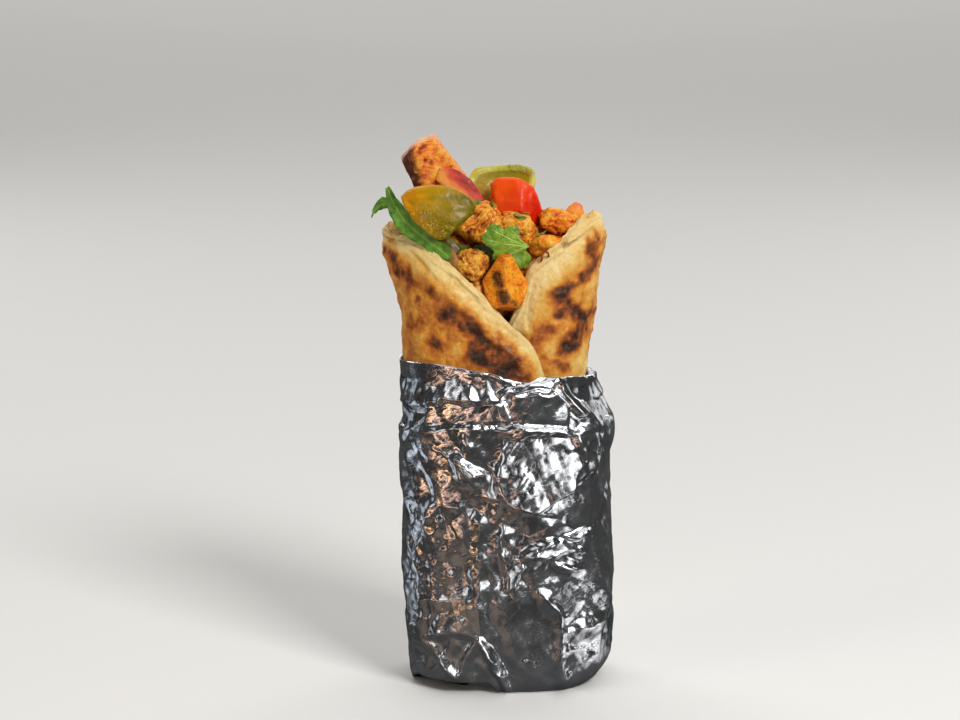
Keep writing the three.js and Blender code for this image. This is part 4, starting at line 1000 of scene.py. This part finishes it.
# Node, slot, direction of the fibres, form, tones and look.
MEATS = [
    ("chicken_low", "chicken", (0.5, 0.2, -0.8),
     dict(strand=1.3, torn=0.5, flaky=0.15, lumps=0.4, swell=0, seed=5), TANNED, dict(fibre=(20, 0, 30))),
    ("chicken_under", "chicken", (1, 0, 0.3),
     dict(strand=1.4, torn=0.4, flaky=0.3, seed=8), TANNED, dict(fibre=(0, 0, 10))),
    ("chicken_right_low", "chicken", (1, 0, 0.2),
     dict(strand=2.2, torn=0.08, flaky=0.15, lumps=0.7, pits=0.3, seed=12), SPICED, {}),
    ("chicken_right_top", "chicken", (1, 0, -0.5),
     dict(torn=0.35, flaky=0.4, lumps=0.7, seed=14, char=[(1.6, 0.9, [(11.5, 149.5), (16, 147.8)])]),
     SPICED, {}),
    ("chicken_middle", "chicken", (0.8, 0, 0.6),
     dict(strand=1.4, torn=0.5, flaky=0.3, lumps=0.7, seed=16,
          char=[(1.3, 0.9, [(-12.6, 150), (-12, 150)])]),
     GRILLED, dict(fibre=(0, 40, 0))),
    ("chicken_inner", "chicken", (1, 0, -0.3),
     dict(strand=1.4, torn=0.5, flaky=0.3, lumps=0.6, seed=18), GRILLED, {}),
    ("chicken_shred", "chicken", (0.6, 0, 1),
     dict(strand=1.3, torn=0.4, flaky=0.2, seed=20), SPICED, dict(fibre=(0, 50, 0))),
    ("cheese_front", "cheese", (0, 0, 1),
     dict(strand=2.6, torn=0.05, flaky=0.06, lumps=0.1, pits=0.2, swell=-0.1, seed=2,
          cut=(placing((-0.9, -15.2, 134.4)), CHEESE_SIDES, 22, 0.03),
          char=[(2.6, 0.95, [(-3.6, 138), (-2.8, 135.4)]), (2.8, 0.95, [(-1.8, 132.4), (-0.9, 130.8)]),
                (1.8, 0.8, [(1.6, 129.6), (2.4, 129)]), (2.4, 0.55, [(-6, 127.5), (0, 126.4), (4, 128)])]),
     CHEESE, dict(spots=0.9, gloss=0.4, painted_relief_shade=0.4)),
    ("chicken_top", "chicken", (0.5, 0.3, 0.8),
     dict(strand=3.0, torn=0.1, flaky=0.12, lumps=0.2, pits=0.3, swell=-0.1, seed=22,
          cut=(placing((-24.6, 6.6, 167.4)), TOP_SIDES, 14, 0.06),
          char=[(5.5, 1.1, [(-34.2, 173), (-33, 168), (-30.6, 163)]),
                (1.2, 0.7, [(-24.6, 171), (-24, 171)]), (1.4, 0.7, [(-27.4, 166.6), (-27, 166)])]),
     SCORCHED, dict(spots=0.7, painted_relief_shade=0.8)),
    ("filling_core", "masala", (1, 0.4, 0.2),
     dict(strand=2.4, torn=0.8, lumps=1.0, pits=1.0, voxel=0.85, smoothing=3, seed=30),
     MINCED, dict(spots=0.8, gloss=0.4)),
]
for node, slot, fibre, form, tones, look in MEATS:
    material = meat_material(node + "_finish", tones, **look)
    finish_piece(meat_piece(node, fibre, **form), material, slot, node)

# ---- peppers and onions ----


def flesh_piece(node, voxel=0.3, smoothing=6, ripple=0.2, ribs=0, rib_axis=(1, 0, 0), seed=1, wet=(),
                cut=None):
    """A slice of pepper or onion, gently uneven, with ribs along an axis and a dimpled glossy patch on which
    its material also paints glints. `cut` gives its place, its corners and the share of its reach where its
    cut rim starts."""
    obj = finer_copy(node, voxel, smoothing)
    points = vertex_points(obj)
    along, across, third = along_axes(points, rib_axis)
    rib = noise(along / 14, across / 1.1, third / 1.1, seed + 3)
    cover = patch_cover(wet, points[:, 0], points[:, 2])
    dimples = noise(*(points / 0.95).T, seed + 4) + 0.6 * noise(*(points / 0.55).T, seed + 6)
    push_out(obj, points, ripple * layered_noise(points, 5, seed, 3) + ribs * rib + 0.17 * cover * dimples)
    # The glossy patch is dimpled, and its material also paints glints on it: painted highlights.
    paint(obj, "wet", cover)
    paint(obj, "rib", rib)
    if cut:
        place, corners, start = cut
        own = np.c_[points, np.ones(len(points))] @ np.array(place.inverted()).T
        reach = corner_reach(corners, np.arctan2(own[:, 1], own[:, 0]) + OFF_CORNER)
        paint(obj, "rim", smooth_step(np.hypot(own[:, 0], own[:, 1]) / reach, start, start + 0.07))
    return obj


def flesh_material(name, run_from, run_to, tones, rim, gloss=0.3, clear=0.35):
    """Translucent flesh whose tone runs from one place (x, z) to another, with a rim tone at its edges, and
    painted glints of that rim tone on its glossy patch.
    """
    shade = Shade(name, Subsurface_Weight=clear, Subsurface_Scale=0.003, Subsurface_Radius=(1, 0.8, 0.35),
                  Coat_Roughness=0.06, Specular_IOR_Level=0.2)
    (x0, z0), (x1, z1) = run_from, run_to
    length = (x1 - x0) ** 2 + (z1 - z0) ** 2
    x, z = (shade.add("SeparateXYZ", {0: shade.place}, axis) for axis in "XZ")
    cloud, rib = shade.noise(4.5, 4, 0.6), shade.known("rib")
    run = shade.sum((x, (x1 - x0) / length), (z, (z1 - z0) / length), (cloud, 0.5), (rib, 0.2))
    start = (x0 * (x1 - x0) + z0 * (z1 - z0)) / length
    body = shade.ramp(shade.math("SUBTRACT", run, start + 0.25), *tones)
    wet, fine = shade.known("wet"), shade.cells(1.1, "SMOOTH_F1")
    # Painted glints: pale dots of the rim tone on the glossy patch, standing in for highlights. `pale` holds
    # them together with the cut rim's own pale tone.
    painted_glints = shade.times(wet, shade.span(fine, 0.3, 0.08, 0, 1.3))
    pale = shade.math("MAXIMUM", painted_glints, shade.times(shade.known("rim"), shade.span(cloud, 0.3, 0.6, 0.5, 1)))
    tint = shade.blend(shade.times(pale, 0.6), body, rim)
    rough = shade.sum(shade.span(cloud, 0.3, 0.7, gloss, gloss + 0.15), (wet, -0.75 * gloss))
    puckers = shade.times(wet, shade.noise(0.6, 2))
    shade.bump((shade.noise(1.2, 4, 0.6), 0.1), (fine, 0.1), (puckers, 1.7))
    coat = shade.math("MULTIPLY_ADD", wet, 0.75, 0.06)
    return shade.set(Base_Color=shade.warm(tint, 0.4), Roughness=rough, Coat_Weight=coat)


BACK_PEPPER = [
    (-12.8, 0.8), (-12.4, 4.2), (-10, 7.7), (-6.4, 9.1), (-1.5, 9.7), (3.4, 9.9), (7.8, 8.8), (10, 7.3),
    (10.1, 4), (9.2, -0.8), (5, -5), (-8, -5),
]
SLIVER = dict(voxel=0.25, smoothing=3, ripple=0.1, ribs=0.1, rib_axis=(0.2, 0, 1))
SLIVER_TONES = [(0, (196, 150, 130)), (0.6, (176, 126, 118)), (1, (150, 92, 96))], (230, 200, 180)
# Node, slot, form, where the tone runs from and to, the tones along it with the rim's, and look.
# The forms' patches are glossy patches on which the material also paints glints: painted highlights.
FLESH = [
    ("pepper_green_front", "green_pepper",
     dict(ripple=0.16, seed=4,
          wet=[(4.6, 1.0, [(-26, 155.4), (-19.5, 151.4)]), (3, 0.7, [(-30, 155), (-26, 153)])]),
     (-34, 158), (-13, 154),
     ([(0, (216, 144, 16)), (0.45, (170, 134, 16)), (1, (100, 94, 8))], (226, 214, 120)), {}),
    ("pepper_strip", "green_pepper", dict(ripple=0.25, ribs=0.3, rib_axis=(0.5, 0, -0.8), seed=6),
     (-26, 150), (-15, 141),
     ([(0, (120, 84, 26)), (0.5, (104, 96, 30)), (1, (66, 58, 14))], (180, 170, 90)), {}),
    ("pepper_green_back", "green_pepper",
     dict(ripple=0.3, seed=17, wet=[(2.0, 0.8, [(2, 168.5), (8, 167)])],
          cut=(placing((-0.8, 9.4, 160), lean=28), BACK_PEPPER, 0.76)),
     (0, 158), (0, 169),
     ([(0, (170, 124, 14)), (0.5, (172, 142, 22)), (0.8, (150, 142, 34)), (1, (112, 122, 24))],
      (226, 226, 160)), {}),
    ("pepper_red", "red_pepper", dict(ripple=0.35, seed=13, smoothing=8), (-3, 160), (11, 150),
     ([(0, (238, 84, 14)), (0.5, (228, 48, 4)), (1, (190, 16, 2))], (250, 130, 80)), dict(gloss=0.28)),
    ("onion_left", "onion", dict(ripple=0.15, ribs=0.12, rib_axis=(0.75, 0, -0.55), seed=15),
     (-19, 160), (-13, 167),
     ([(0, (250, 150, 84)), (0.4, (250, 164, 130)), (0.7, (214, 84, 100)), (1, (150, 30, 60))],
      (250, 214, 200)), dict(clear=0.45)),
    ("onion_right", "onion", dict(ripple=0.15, ribs=0.1, rib_axis=(0.3, 0, 1), seed=11),
     (20, 152), (24, 158),
     ([(0, (250, 158, 62)), (0.6, (244, 164, 92)), (1, (222, 104, 84))], (250, 210, 160)), dict(clear=0.45)),
    ("onion_low", "onion", dict(seed=7, **SLIVER), (-17.4, 136), (-17.4, 146), SLIVER_TONES,
     dict(clear=0.45)),
    ("onion_notch", "onion", dict(seed=10, **SLIVER), (7, 134), (8, 143), SLIVER_TONES, dict(clear=0.45)),
]
for node, slot, form, run_from, run_to, tones, look in FLESH:
    material = flesh_material(node + "_finish", run_from, run_to, *tones, **look)
    finish_piece(flesh_piece(node, **form), material, slot, node)

# ---- herbs and torn bits ----


def vein_lines(lines, x, y, width):
    """How close points lie to lines of (x, y), from 0 to 1."""
    nearest = np.full_like(x, FAR)
    for start, end in lines:
        share, distance = beside(start, end, x, y)
        nearest = np.minimum(nearest, distance / (1.2 - 0.7 * share))
    return np.exp(-((nearest / width) ** 2))


def lobed_leaf(name, place, corners, base, tips, bow, ripple, seed):
    """A leaf with rounded, toothed lobes between its corners, and veins that fan out from its base."""
    sectors, rings, thickness = 288, 36, 0.4
    angle = np.linspace(0, FULL_TURN, sectors, endpoint=False) + OFF_CORNER
    reach = corner_reach(corners, angle)
    for _ in range(4):
        reach = (np.roll(reach, 1) + 2 * reach + np.roll(reach, -1)) / 4
    reach = reach * (1 + 0.05 * np.abs(np.sin(15 * angle + 0.9 * np.sin(3 * angle + seed))))
    share = np.linspace(0.02, 1, rings)[:, None]
    x, y = share * reach * np.cos(angle), share * reach * np.sin(angle)
    size = max(math.hypot(*corner) for corner in corners)
    forks = []
    for tip in tips:
        along = np.array(tip) - np.array(base)
        across = np.array((-along[1], along[0]))
        for part in (0.3, 0.5, 0.68, 0.84):
            fork, length = np.array(base) + part * along, 1 - 0.6 * part
            forks += [(fork, fork + length * (0.26 * along + side * 0.24 * across)) for side in (-1, 1)]
    veins = vein_lines([(base, tip) for tip in tips], x, y, 0.22)
    small_veins = vein_lines(forks, x, y, 0.13)
    z = bow * (1 - (x * x + y * y) / size**2) + ripple * noise(x / 3.5, y / 3.5, 5, seed)
    z += 0.4 * noise(x / 1.7, y / 1.7, 6, seed) * share - 0.2 * veins - 0.1 * small_veins
    half = thickness / 2 * np.sqrt(np.clip(1.02 - share**8, 0, 1))
    points = np.concatenate([np.stack([x, y, z + half], -1), np.stack([x, y, z - half], -1)[::-1]])
    obj = settle(mesh_object(name, points.reshape(-1, 3), tube_faces(2 * rings, sectors)), place)
    for key, values in (("vein", veins + 0.5 * small_veins), ("reach", share + 0 * x)):
        paint(obj, key, np.concatenate([values, values[::-1]]))
    return obj


def blade(line, widths, across, cup, thickness, seed):
    """A part for a narrow leaf along a smooth line, (share of its length, width) pairs wide."""
    steps, columns = 90, 21
    t = np.linspace(0, 1, steps)
    knots = np.linspace(0, 1, len(line))
    middle = np.stack([through(list(zip(knots, axis)), t) for axis in zip(*line)], -1)
    side = np.array(across) / np.linalg.norm(across)
    out = np.cross(side, np.gradient(middle, axis=0))
    out /= np.linalg.norm(out, axis=1)[:, None]
    share = np.linspace(-1, 1, columns)
    width = through(widths, t)[:, None] / 2
    scallop = 1 + 0.1 * np.abs(np.sin(t * 19 + seed))[:, None] * np.abs(share) ** 3
    side_vein = np.abs(np.mod((t[:, None] * 9 - np.abs(share) * 0.8), 1) - 0.5)
    veins = np.exp(-((share / 0.09) ** 2)) + 0.45 * np.exp(-((side_vein / 0.07) ** 2)) * (1 - np.abs(share))
    height = cup * (1 - share**2) * width - 0.18 * veins
    height = height + 0.35 * noise(t[:, None] * 9, share * 1.3, 2, seed) * np.abs(share)
    half = thickness / 2 * np.sqrt(np.clip(1.04 - share**6, 0, 1)) + 0 * height
    flat = middle[:, None] + side * (share * width * scallop)[..., None]
    front = flat + out[:, None] * (height + half)[..., None]
    back = (flat + out[:, None] * (height - half)[..., None])[:, ::-1]
    loop = np.concatenate([front, back], 1)
    values = {"vein": veins, "reach": np.abs(share) + 0 * height}
    values = {key: np.concatenate([value, value[:, ::-1]], 1) for key, value in values.items()}
    return loop.reshape(-1, 3), tube_faces(*loop.shape[:2]), values


def blades(name, rows):
    return joined(name, [blade(*row) for row in rows])


def herb_material(name, light, main, dark):
    shade = Shade(name, Subsurface_Weight=0.3, Subsurface_Scale=0.0008, Subsurface_Radius=(0.5, 1, 0.2),
                  Coat_Weight=0.15, Coat_Roughness=0.25)
    cloud = shade.noise(2.6, 4, 0.6)
    fine = shade.noise(0.5)
    tone = shade.sum((cloud, 0.8), (fine, 0.25), (shade.known("reach"), -0.12))
    body = shade.ramp(tone, (0.3, dark), (0.52, main), (0.75, halfway(main, light)))
    tint = shade.blend(shade.times(shade.known("vein"), 0.55), body, light)
    shade.bump((fine, 0.06), (shade.cells(0.7), 0.06))
    return shade.set(Base_Color=shade.warm(tint, 0.6), Roughness=shade.span(cloud, 0.3, 0.7, 0.4, 0.6))


FRONT_LEAF = [
    (6.9, -0.9), (4.7, 0.7), (3.4, 2.3), (3.8, 4.8), (1.8, 5.9), (-0.3, 5.9), (-1, 4.4), (-2.3, 5.9),
    (-4.8, 6.2), (-6.4, 5.3), (-6.6, 3.7), (-8, 2.7), (-7.3, 0.1), (-5.4, -1.1), (-4.2, -2.1), (-4.6, -4.7),
    (-2.9, -5.7), (-0.6, -3.6), (1.5, -4.5), (3.4, -7.3), (5.6, -8.2), (7.3, -6), (7.5, -3.7), (5.4, -2.2),
]
FRONT_TIPS = [(-6.9, 1.6), (-5, 5), (1.2, 5), (-3.4, -4.6), (5.2, -6.6)]
DARK_LEAF = [
    (-5.4, 0.6), (-3.4, 2.6), (-1, 2.2), (1.4, 4), (3.4, 2.8), (3.2, 0), (2.8, -3.2), (0.6, -3.8),
    (-1.4, -2.4), (-4, -2.2),
]
DARK_TIPS = [(-4.6, 0.2), (1.2, 3.2), (0.6, -3)]
finish_piece(
    lobed_leaf("coriander_front", placing((-0.2, -15.2, 147.4), lean=-6, yaw=6), FRONT_LEAF, (6.2, -0.9),
               FRONT_TIPS, 1.2, 0.7, 3),
    herb_material("coriander", (186, 210, 98), (130, 164, 44), (76, 116, 24)), "herb", "herb_leaf_front",
)
# The leaf behind is given much darker greens: painted shade for the shadow it lies in.
finish_piece(
    lobed_leaf("coriander_dark", placing((-6.4, -11.4, 143.6), lean=14), DARK_LEAF, (3, -1),
               DARK_TIPS, 0.8, 0.6, 9),
    herb_material("coriander_shaded", (110, 130, 60), (60, 82, 30), (28, 40, 14)), "herb", "herb_leaf_dark",
)

# Narrow leaves and flakes: a line, the widths along it, the direction across it, cup, thickness and seed.
LONG_LEAF = [
    ([(-38.2, -9, 164.4), (-36.6, -9.4, 159.5), (-33, -11.5, 154), (-27.4, -14, 149.4),
      (-22.4, -15.6, 145.8), (-18.4, -16.4, 142.8)],
     [(0, 1.6), (0.12, 3), (0.3, 5.2), (0.5, 6.4), (0.72, 4.4), (0.86, 5.6), (1, 1.8)],
     (0.75, -0.25, 0.6), 0.3, 0.4, 3),
    ([(-35.4, -9.6, 158), (-37.6, -8.4, 159), (-40.4, -7, 158.8), (-42.4, -6.6, 157),
      (-43.4, -6.6, 154.6)],
     [(0, 1.6), (0.5, 5), (0.8, 3.4), (1, 1.2)], (0.1, -0.5, 0.85), 0.25, 0.4, 8),
]
# A torn layer and a spike on the right flap's edge and a crumb of the left one's.
BREAD_FLAKES = [
    ([(18.6, -16.6, 147.9), (19.6, -16.8, 149), (22.8, -14.6, 151.2), (26.1, -10.8, 153.2),
      (28.4, -7.6, 153.6)],
     [(0, 0.6), (0.3, 1.8), (0.7, 2.6), (1, 1.0)], (-0.5, 0.2, 0.8), 0.1, 0.5, 5),
    ([(24, -8.6, 151.4), (25.4, -7.6, 153.4), (26.6, -7, 155), (27.3, -6.4, 156.8)],
     [(0, 2.8), (0.5, 1.8), (1, 0.3)], (0.9, 0.2, -0.4), 0.2, 0.4, 6),
    ([(-36.4, -3.4, 150), (-35.9, -3.6, 151.6), (-35.7, -3.8, 153.6)],
     [(0, 3.6), (0.5, 2.4), (1, 0.4)], (0.95, -0.2, 0.1), 0.2, 0.7, 7),
]
# A curl of dark skin.
CURL = [
    ([(10.6, -16.4, 141.8), (10.9, -16.9, 143.6), (11.6, -17.1, 145), (12.6, -17, 144.6),
      (13, -16.6, 143.2)],
     [(0, 1.4), (0.5, 1.2), (1, 0.7)], (0.1, 1, 0.1), 0.1, 0.4, 8),
]
leaf_finish = herb_material("leaf_green", (160, 192, 96), (92, 142, 40), (48, 84, 22))
finish_piece(blades("leaf_left", LONG_LEAF), leaf_finish, "herb", "herb_leaf_left")
finish_piece(blades("bread_flakes", BREAD_FLAKES), bread_finish, "bread")
CURL_TONES = [(0, (120, 40, 16)), (0.5, (150, 60, 26)), (1, (96, 28, 12))]
curl_finish = flesh_material("curl_skin", (10, 142), (13, 145), CURL_TONES, (200, 110, 60))
finish_piece(blades("dark_curl", CURL), curl_finish, "onion")

# ---- crumbs ----

ELEVATION = math.radians(12)  # of the camera
INTO_PICTURE = Vector((0, math.cos(ELEVATION), -math.sin(ELEVATION)))
BEFORE, ABOVE = 60, 200  # how far off rays start
FACING = -0.15  # how squarely a surface must face its ray for a crumb to lie on it
# Which of a ray's start coordinates is fixed, and at what, and the ray's direction.
FROM_FRONT = (1, -BEFORE, INTO_PICTURE)
FROM_ABOVE = (2, ABOVE, Vector((0, 0, -1)))


def ground(nodes):
    """The surfaces of the pieces that stand for nodes, for rays to meet."""
    graph = bpy.context.evaluated_depsgraph_get()
    return [BVHTree.FromObject(bpy.data.objects[node + "_skin"], graph) for node in nodes]


def first_hit(trees, start, direction):
    """The first place and normal that a ray meets, in millimetres, and how far off, or None."""
    nearest = None
    for tree in trees:
        place, normal, _, distance = tree.ray_cast(Vector(start) * MM, direction)
        if place is not None and (nearest is None or distance < nearest[2]):
            nearest = (place / MM, normal, distance)
    return nearest


def random_hits(rng, trees, count, first_range, second_range, view):
    """Places that rays meet from random starts on the plane of a view."""
    fixed, value, direction = view
    found = []
    while len(found) < count:
        free = rng.uniform(*first_range), rng.uniform(*second_range)
        hit = first_hit(trees, np.insert(free, fixed, value), direction)
        if hit is not None and hit[1].dot(direction) < FACING:
            found.append(hit)
    return found


def scattered(name, hits, sizes, shape, sink, seed, curl=0.0):
    """One mesh of ragged bits that lie on the hits, `shape` their length, width and thickness."""
    rng = np.random.default_rng(seed)
    ball, ball_faces = unit_ball(3)
    points, faces = [], []
    for number, ((place, normal, _), size) in enumerate(zip(hits, sizes)):
        stretch = np.array(shape) * rng.uniform(0.75, 1.25, 3) * size
        rough = 1 + 0.3 * ridges(ball + 5.3 * number, 1.3, seed, 2)
        bit = ball * rough[:, None] * stretch
        bit[:, 2] += curl * size * (bit[:, 0] / stretch[0]) ** 2
        spin = Matrix.Rotation(rng.uniform(0, FULL_TURN), 3, "Z")
        turn = normal.to_track_quat("Z", "Y").to_matrix() @ spin
        middle = np.array(place) + np.array(normal) * stretch[2] * (1 - sink)
        points.append(bit @ np.array(turn).T + middle)
        faces.append(ball_faces + number * len(ball))
    return mesh_object(name, np.concatenate(points), np.concatenate(faces))


MEAT_GROUND = [
    "filling_core", "chicken_low", "chicken_under", "chicken_right_low", "chicken_right_top",
    "chicken_middle", "chicken_inner", "chicken_shred",
]
WHOLE_GROUND = MEAT_GROUND + [
    "pepper_strip", "onion_low", "onion_notch", "pepper_red", "onion_left", "onion_right", "cheese_front",
]
rng = np.random.default_rng(77)
core_ground = ground(["filling_core"])
crumb_hits = random_hits(rng, core_ground, 90, (-30, 26), (126, 162), FROM_FRONT)
crumb_hits += random_hits(rng, core_ground, 150, (-30, 26), (-14, 17), FROM_ABOVE)
crumb_sizes = 0.45 + 1.1 * rng.random(len(crumb_hits)) ** 2.2
crumb_finish = meat_material("crumbs", ((250, 170, 70), (222, 114, 30), (140, 58, 16), (50, 20, 10)))
crumbs = scattered("masala_crumbs", crumb_hits, crumb_sizes, (1.2, 0.85, 0.7), 0.35, 78)
finish_piece(crumbs, crumb_finish, "masala")

# Bits of chopped herb, each (x, height, size) where it is seen from the front.
HERB_BITS = [
    (-10.5, 157.6, 1.5), (-5, 157.4, 1.6), (3.6, 153, 1.7), (4.6, 152.4, 1.3), (-13.2, 142.6, 1.3),
    (-14.4, 143.4, 1.0), (11, 147.4, 1.3), (9.6, 146.8, 0.9), (-22.4, 141.6, 0.8),
]
LOOSE_BITS = 16
whole_ground = ground(WHOLE_GROUND)
herb_hits = [
    first_hit(whole_ground, (x, -BEFORE, height + BEFORE * math.tan(ELEVATION)), INTO_PICTURE)
    for x, height, _ in HERB_BITS
]
herb_hits += random_hits(rng, ground(MEAT_GROUND), LOOSE_BITS, (-26, 22), (-6, 16), FROM_ABOVE)
herb_sizes = [size for _, _, size in HERB_BITS] + list(rng.uniform(0.6, 1.3, LOOSE_BITS))
herb_bits = scattered("herb_bits", herb_hits, herb_sizes, (1.3, 0.8, 0.16), 0, 79, curl=0.35)
chopped_finish = herb_material("chopped_herb", (176, 190, 100), (120, 142, 52), (62, 84, 26))
finish_piece(herb_bits, chopped_finish, "herb")

# ---- studio ----

MIDDLE = Vector((-0.004, 0, 0.1))  # of the object, in metres
FLOOR_REACH = 6000
RING_HEIGHT = 0.4
CARD_COLUMNS = 16
RING_COLUMNS = 48
WHITE, COOL, COPPER, GOLD = (1, 1, 1, 1), (0.82, 0.9, 1, 1), (0.8, 0.5, 0.38, 1), (1, 0.55, 0.18, 1)
DIM = (0.6, 0.47, 0.38, 1)
# Name, tint, strength, turns, reach and height of its edges, the glow's centre and how far it fades.
CARDS = [
    ("right_front", WHITE, 3.0, (0, 64), (700, 700), (60, 520), (400, -570, 260), 420),
    ("left_front", WHITE, 1.8, (-66, -8), (700, 700), (150, 520), (-400, -570, 300), 280),
    ("left", COOL, 0.8, (-150, -92), (700, 700), (0, 420), (-650, 160, 200), 340),
    ("right_back", WHITE, 1.1, (112, 142), (700, 700), (0, 420), (560, 420, 180), 380),
    ("back", WHITE, 1.6, (160, 210), (700, 700), (40, 460), (-60, 700, 240), 420),
    ("floor_copper", COPPER, 2.8, (-76, -2), (270, 480), (3, 4), (-170, -320, 3), 260),
    ("floor_gold", GOLD, 5.0, (-46, -38), (230, 330), (5, 6), (-190, -210, 5), 90),
    ("floor_left", COOL, 1.1, (-140, -78), (70, 300), (3, 4), (-170, -20, 3), 120),
    ("floor_right", WHITE, 1.6, (40, 130), (44, 100), (3, 4), (70, -30, 3), 50),
    ("floor_low", DIM, 0.3, (-62, 0), (46, 120), (3, 4), (-30, -70, 3), 100),
]


def reflections_only(obj, material):
    """Makes an object one that only reflections see."""
    obj.data.materials.append(material)
    obj.visible_camera = False
    obj.visible_shadow = False
    obj.visible_diffuse = False


def floor_ring(name, inner, outer, grey):
    """A dark ring on the floor round the foil."""
    around = np.linspace(0, FULL_TURN, RING_COLUMNS, endpoint=False)
    rings = [(reach, turn) for reach in (inner, outer) for turn in around]
    points = [(reach * math.cos(turn), reach * math.sin(turn), RING_HEIGHT) for reach, turn in rings]
    ring = mesh_object(name, points, grid_faces(2, RING_COLUMNS, True))
    reflections_only(ring, Shade(name + "_card", Base_Color=(grey, grey, grey, 1), Roughness=0.9).material)


def round_card(name, turns, reach, heights, material):
    """A curved card round the object from one turn to another, in degrees to the right of the front."""
    around = np.radians(np.linspace(*turns, CARD_COLUMNS))
    rows = [
        np.stack([radius * np.sin(around), -radius * np.cos(around), height + 0 * around], -1)
        for radius, height in zip(reach, heights)
    ]
    reflections_only(mesh_object(name, np.concatenate(rows), grid_faces(2, CARD_COLUMNS, False)), material)


def card_material(name, tint, strength, centre, reach):
    """A glow that is strongest at its centre and fades away from it."""
    shade = Shade(name, Roughness=1)
    offset = shade.vector("DISTANCE", shade.place, centre, output="Value")
    glow = shade.times(shade.math("POWER", shade.span(offset, 0, reach, 1, 0), 1.4), strength)
    return shade.set(Base_Color=(0, 0, 0, 1), Emission_Color=tint, Emission_Strength=glow)


def look_at(obj, place, aim):
    obj.location = place
    obj.rotation_mode = "QUATERNION"
    obj.rotation_quaternion = (Vector(aim) - Vector(place)).to_track_quat("-Z", "Y")


def area_light(name, place, aim, size, power, tint=(1, 1, 1), glossy=True):
    light = bpy.data.lights.new(name, "AREA")
    light.shape = "RECTANGLE"
    light.size, light.size_y = size
    light.energy = power
    light.color = tint
    obj = linked(name, light)
    obj.visible_glossy = glossy
    look_at(obj, place, aim)


floor_corners = [(x * FLOOR_REACH, y * FLOOR_REACH, 0) for x, y in ((-1, -1), (1, -1), (1, 1), (-1, 1))]
floor = mesh_object("floor", floor_corners, [(0, 1, 2, 3)])
floor.data.materials.append(Shade("pale_floor", Base_Color=(232, 230, 226), Roughness=0.6).material)
floor_ring("floor_flag", 54, 4000, 0.012)
floor_ring("near_floor", 20, 54, 0.05)
for name, tint, strength, turns, reach, heights, centre, fade in CARDS:
    glow = card_material(name + "_glow", tint, strength, centre, fade)
    round_card("card_" + name, turns, reach, heights, glow)

# Lights: name, place, aim and size in metres, power, and for some a tint and whether reflections show it.
LIGHTS = [
    ("key", (0.55, -0.75, 0.85), MIDDLE, (0.4, 0.4), 11),
    ("fill", (-0.9, -0.5, 0.4), MIDDLE, (0.35, 0.8), 2.2, (1, 0.92, 0.8), False),
    ("top", (0, 0.3, 1.5), (0, 0.2, 0), (1.6, 1.6), 7.5),
    ("far_floor", (0, 3.4, 2.4), (0, 3.4, 0), (6, 3.6), 90),
    ("back_left", (-0.8, 0.8, 0.5), MIDDLE, (0.4, 0.7), 2),
    ("back_right", (0.8, 0.8, 0.5), MIDDLE, (0.4, 0.7), 2),
]
for light in LIGHTS:
    area_light(*light)

world = bpy.data.worlds.new("studio")
world.use_nodes = True
background = world.node_tree.nodes["Background"].inputs
background["Color"].default_value = WHITE
background["Strength"].default_value = 0.045
bpy.context.scene.world = world

# ---- camera ----

AIM = Vector((-8.8, 0, 106.4)) * MM
DISTANCE = 900 * MM
MM_PER_PIXEL = 0.325
PHOTO_WIDTH = 960
SENSOR_WIDTH = 36

camera_data = bpy.data.cameras.new("camera")
camera_data.sensor_width = SENSOR_WIDTH
camera_data.lens = SENSOR_WIDTH * DISTANCE / (MM_PER_PIXEL * MM * PHOTO_WIDTH)
camera_data.clip_start = 0.05
camera_data.clip_end = 50
camera = linked("camera", camera_data)
look_at(camera, AIM + DISTANCE * Vector((0, -math.cos(ELEVATION), math.sin(ELEVATION))), AIM)
bpy.context.scene.camera = camera

scene_view = bpy.context.scene.view_settings
scene_view.view_transform = "Standard"
scene_view.look = "None"
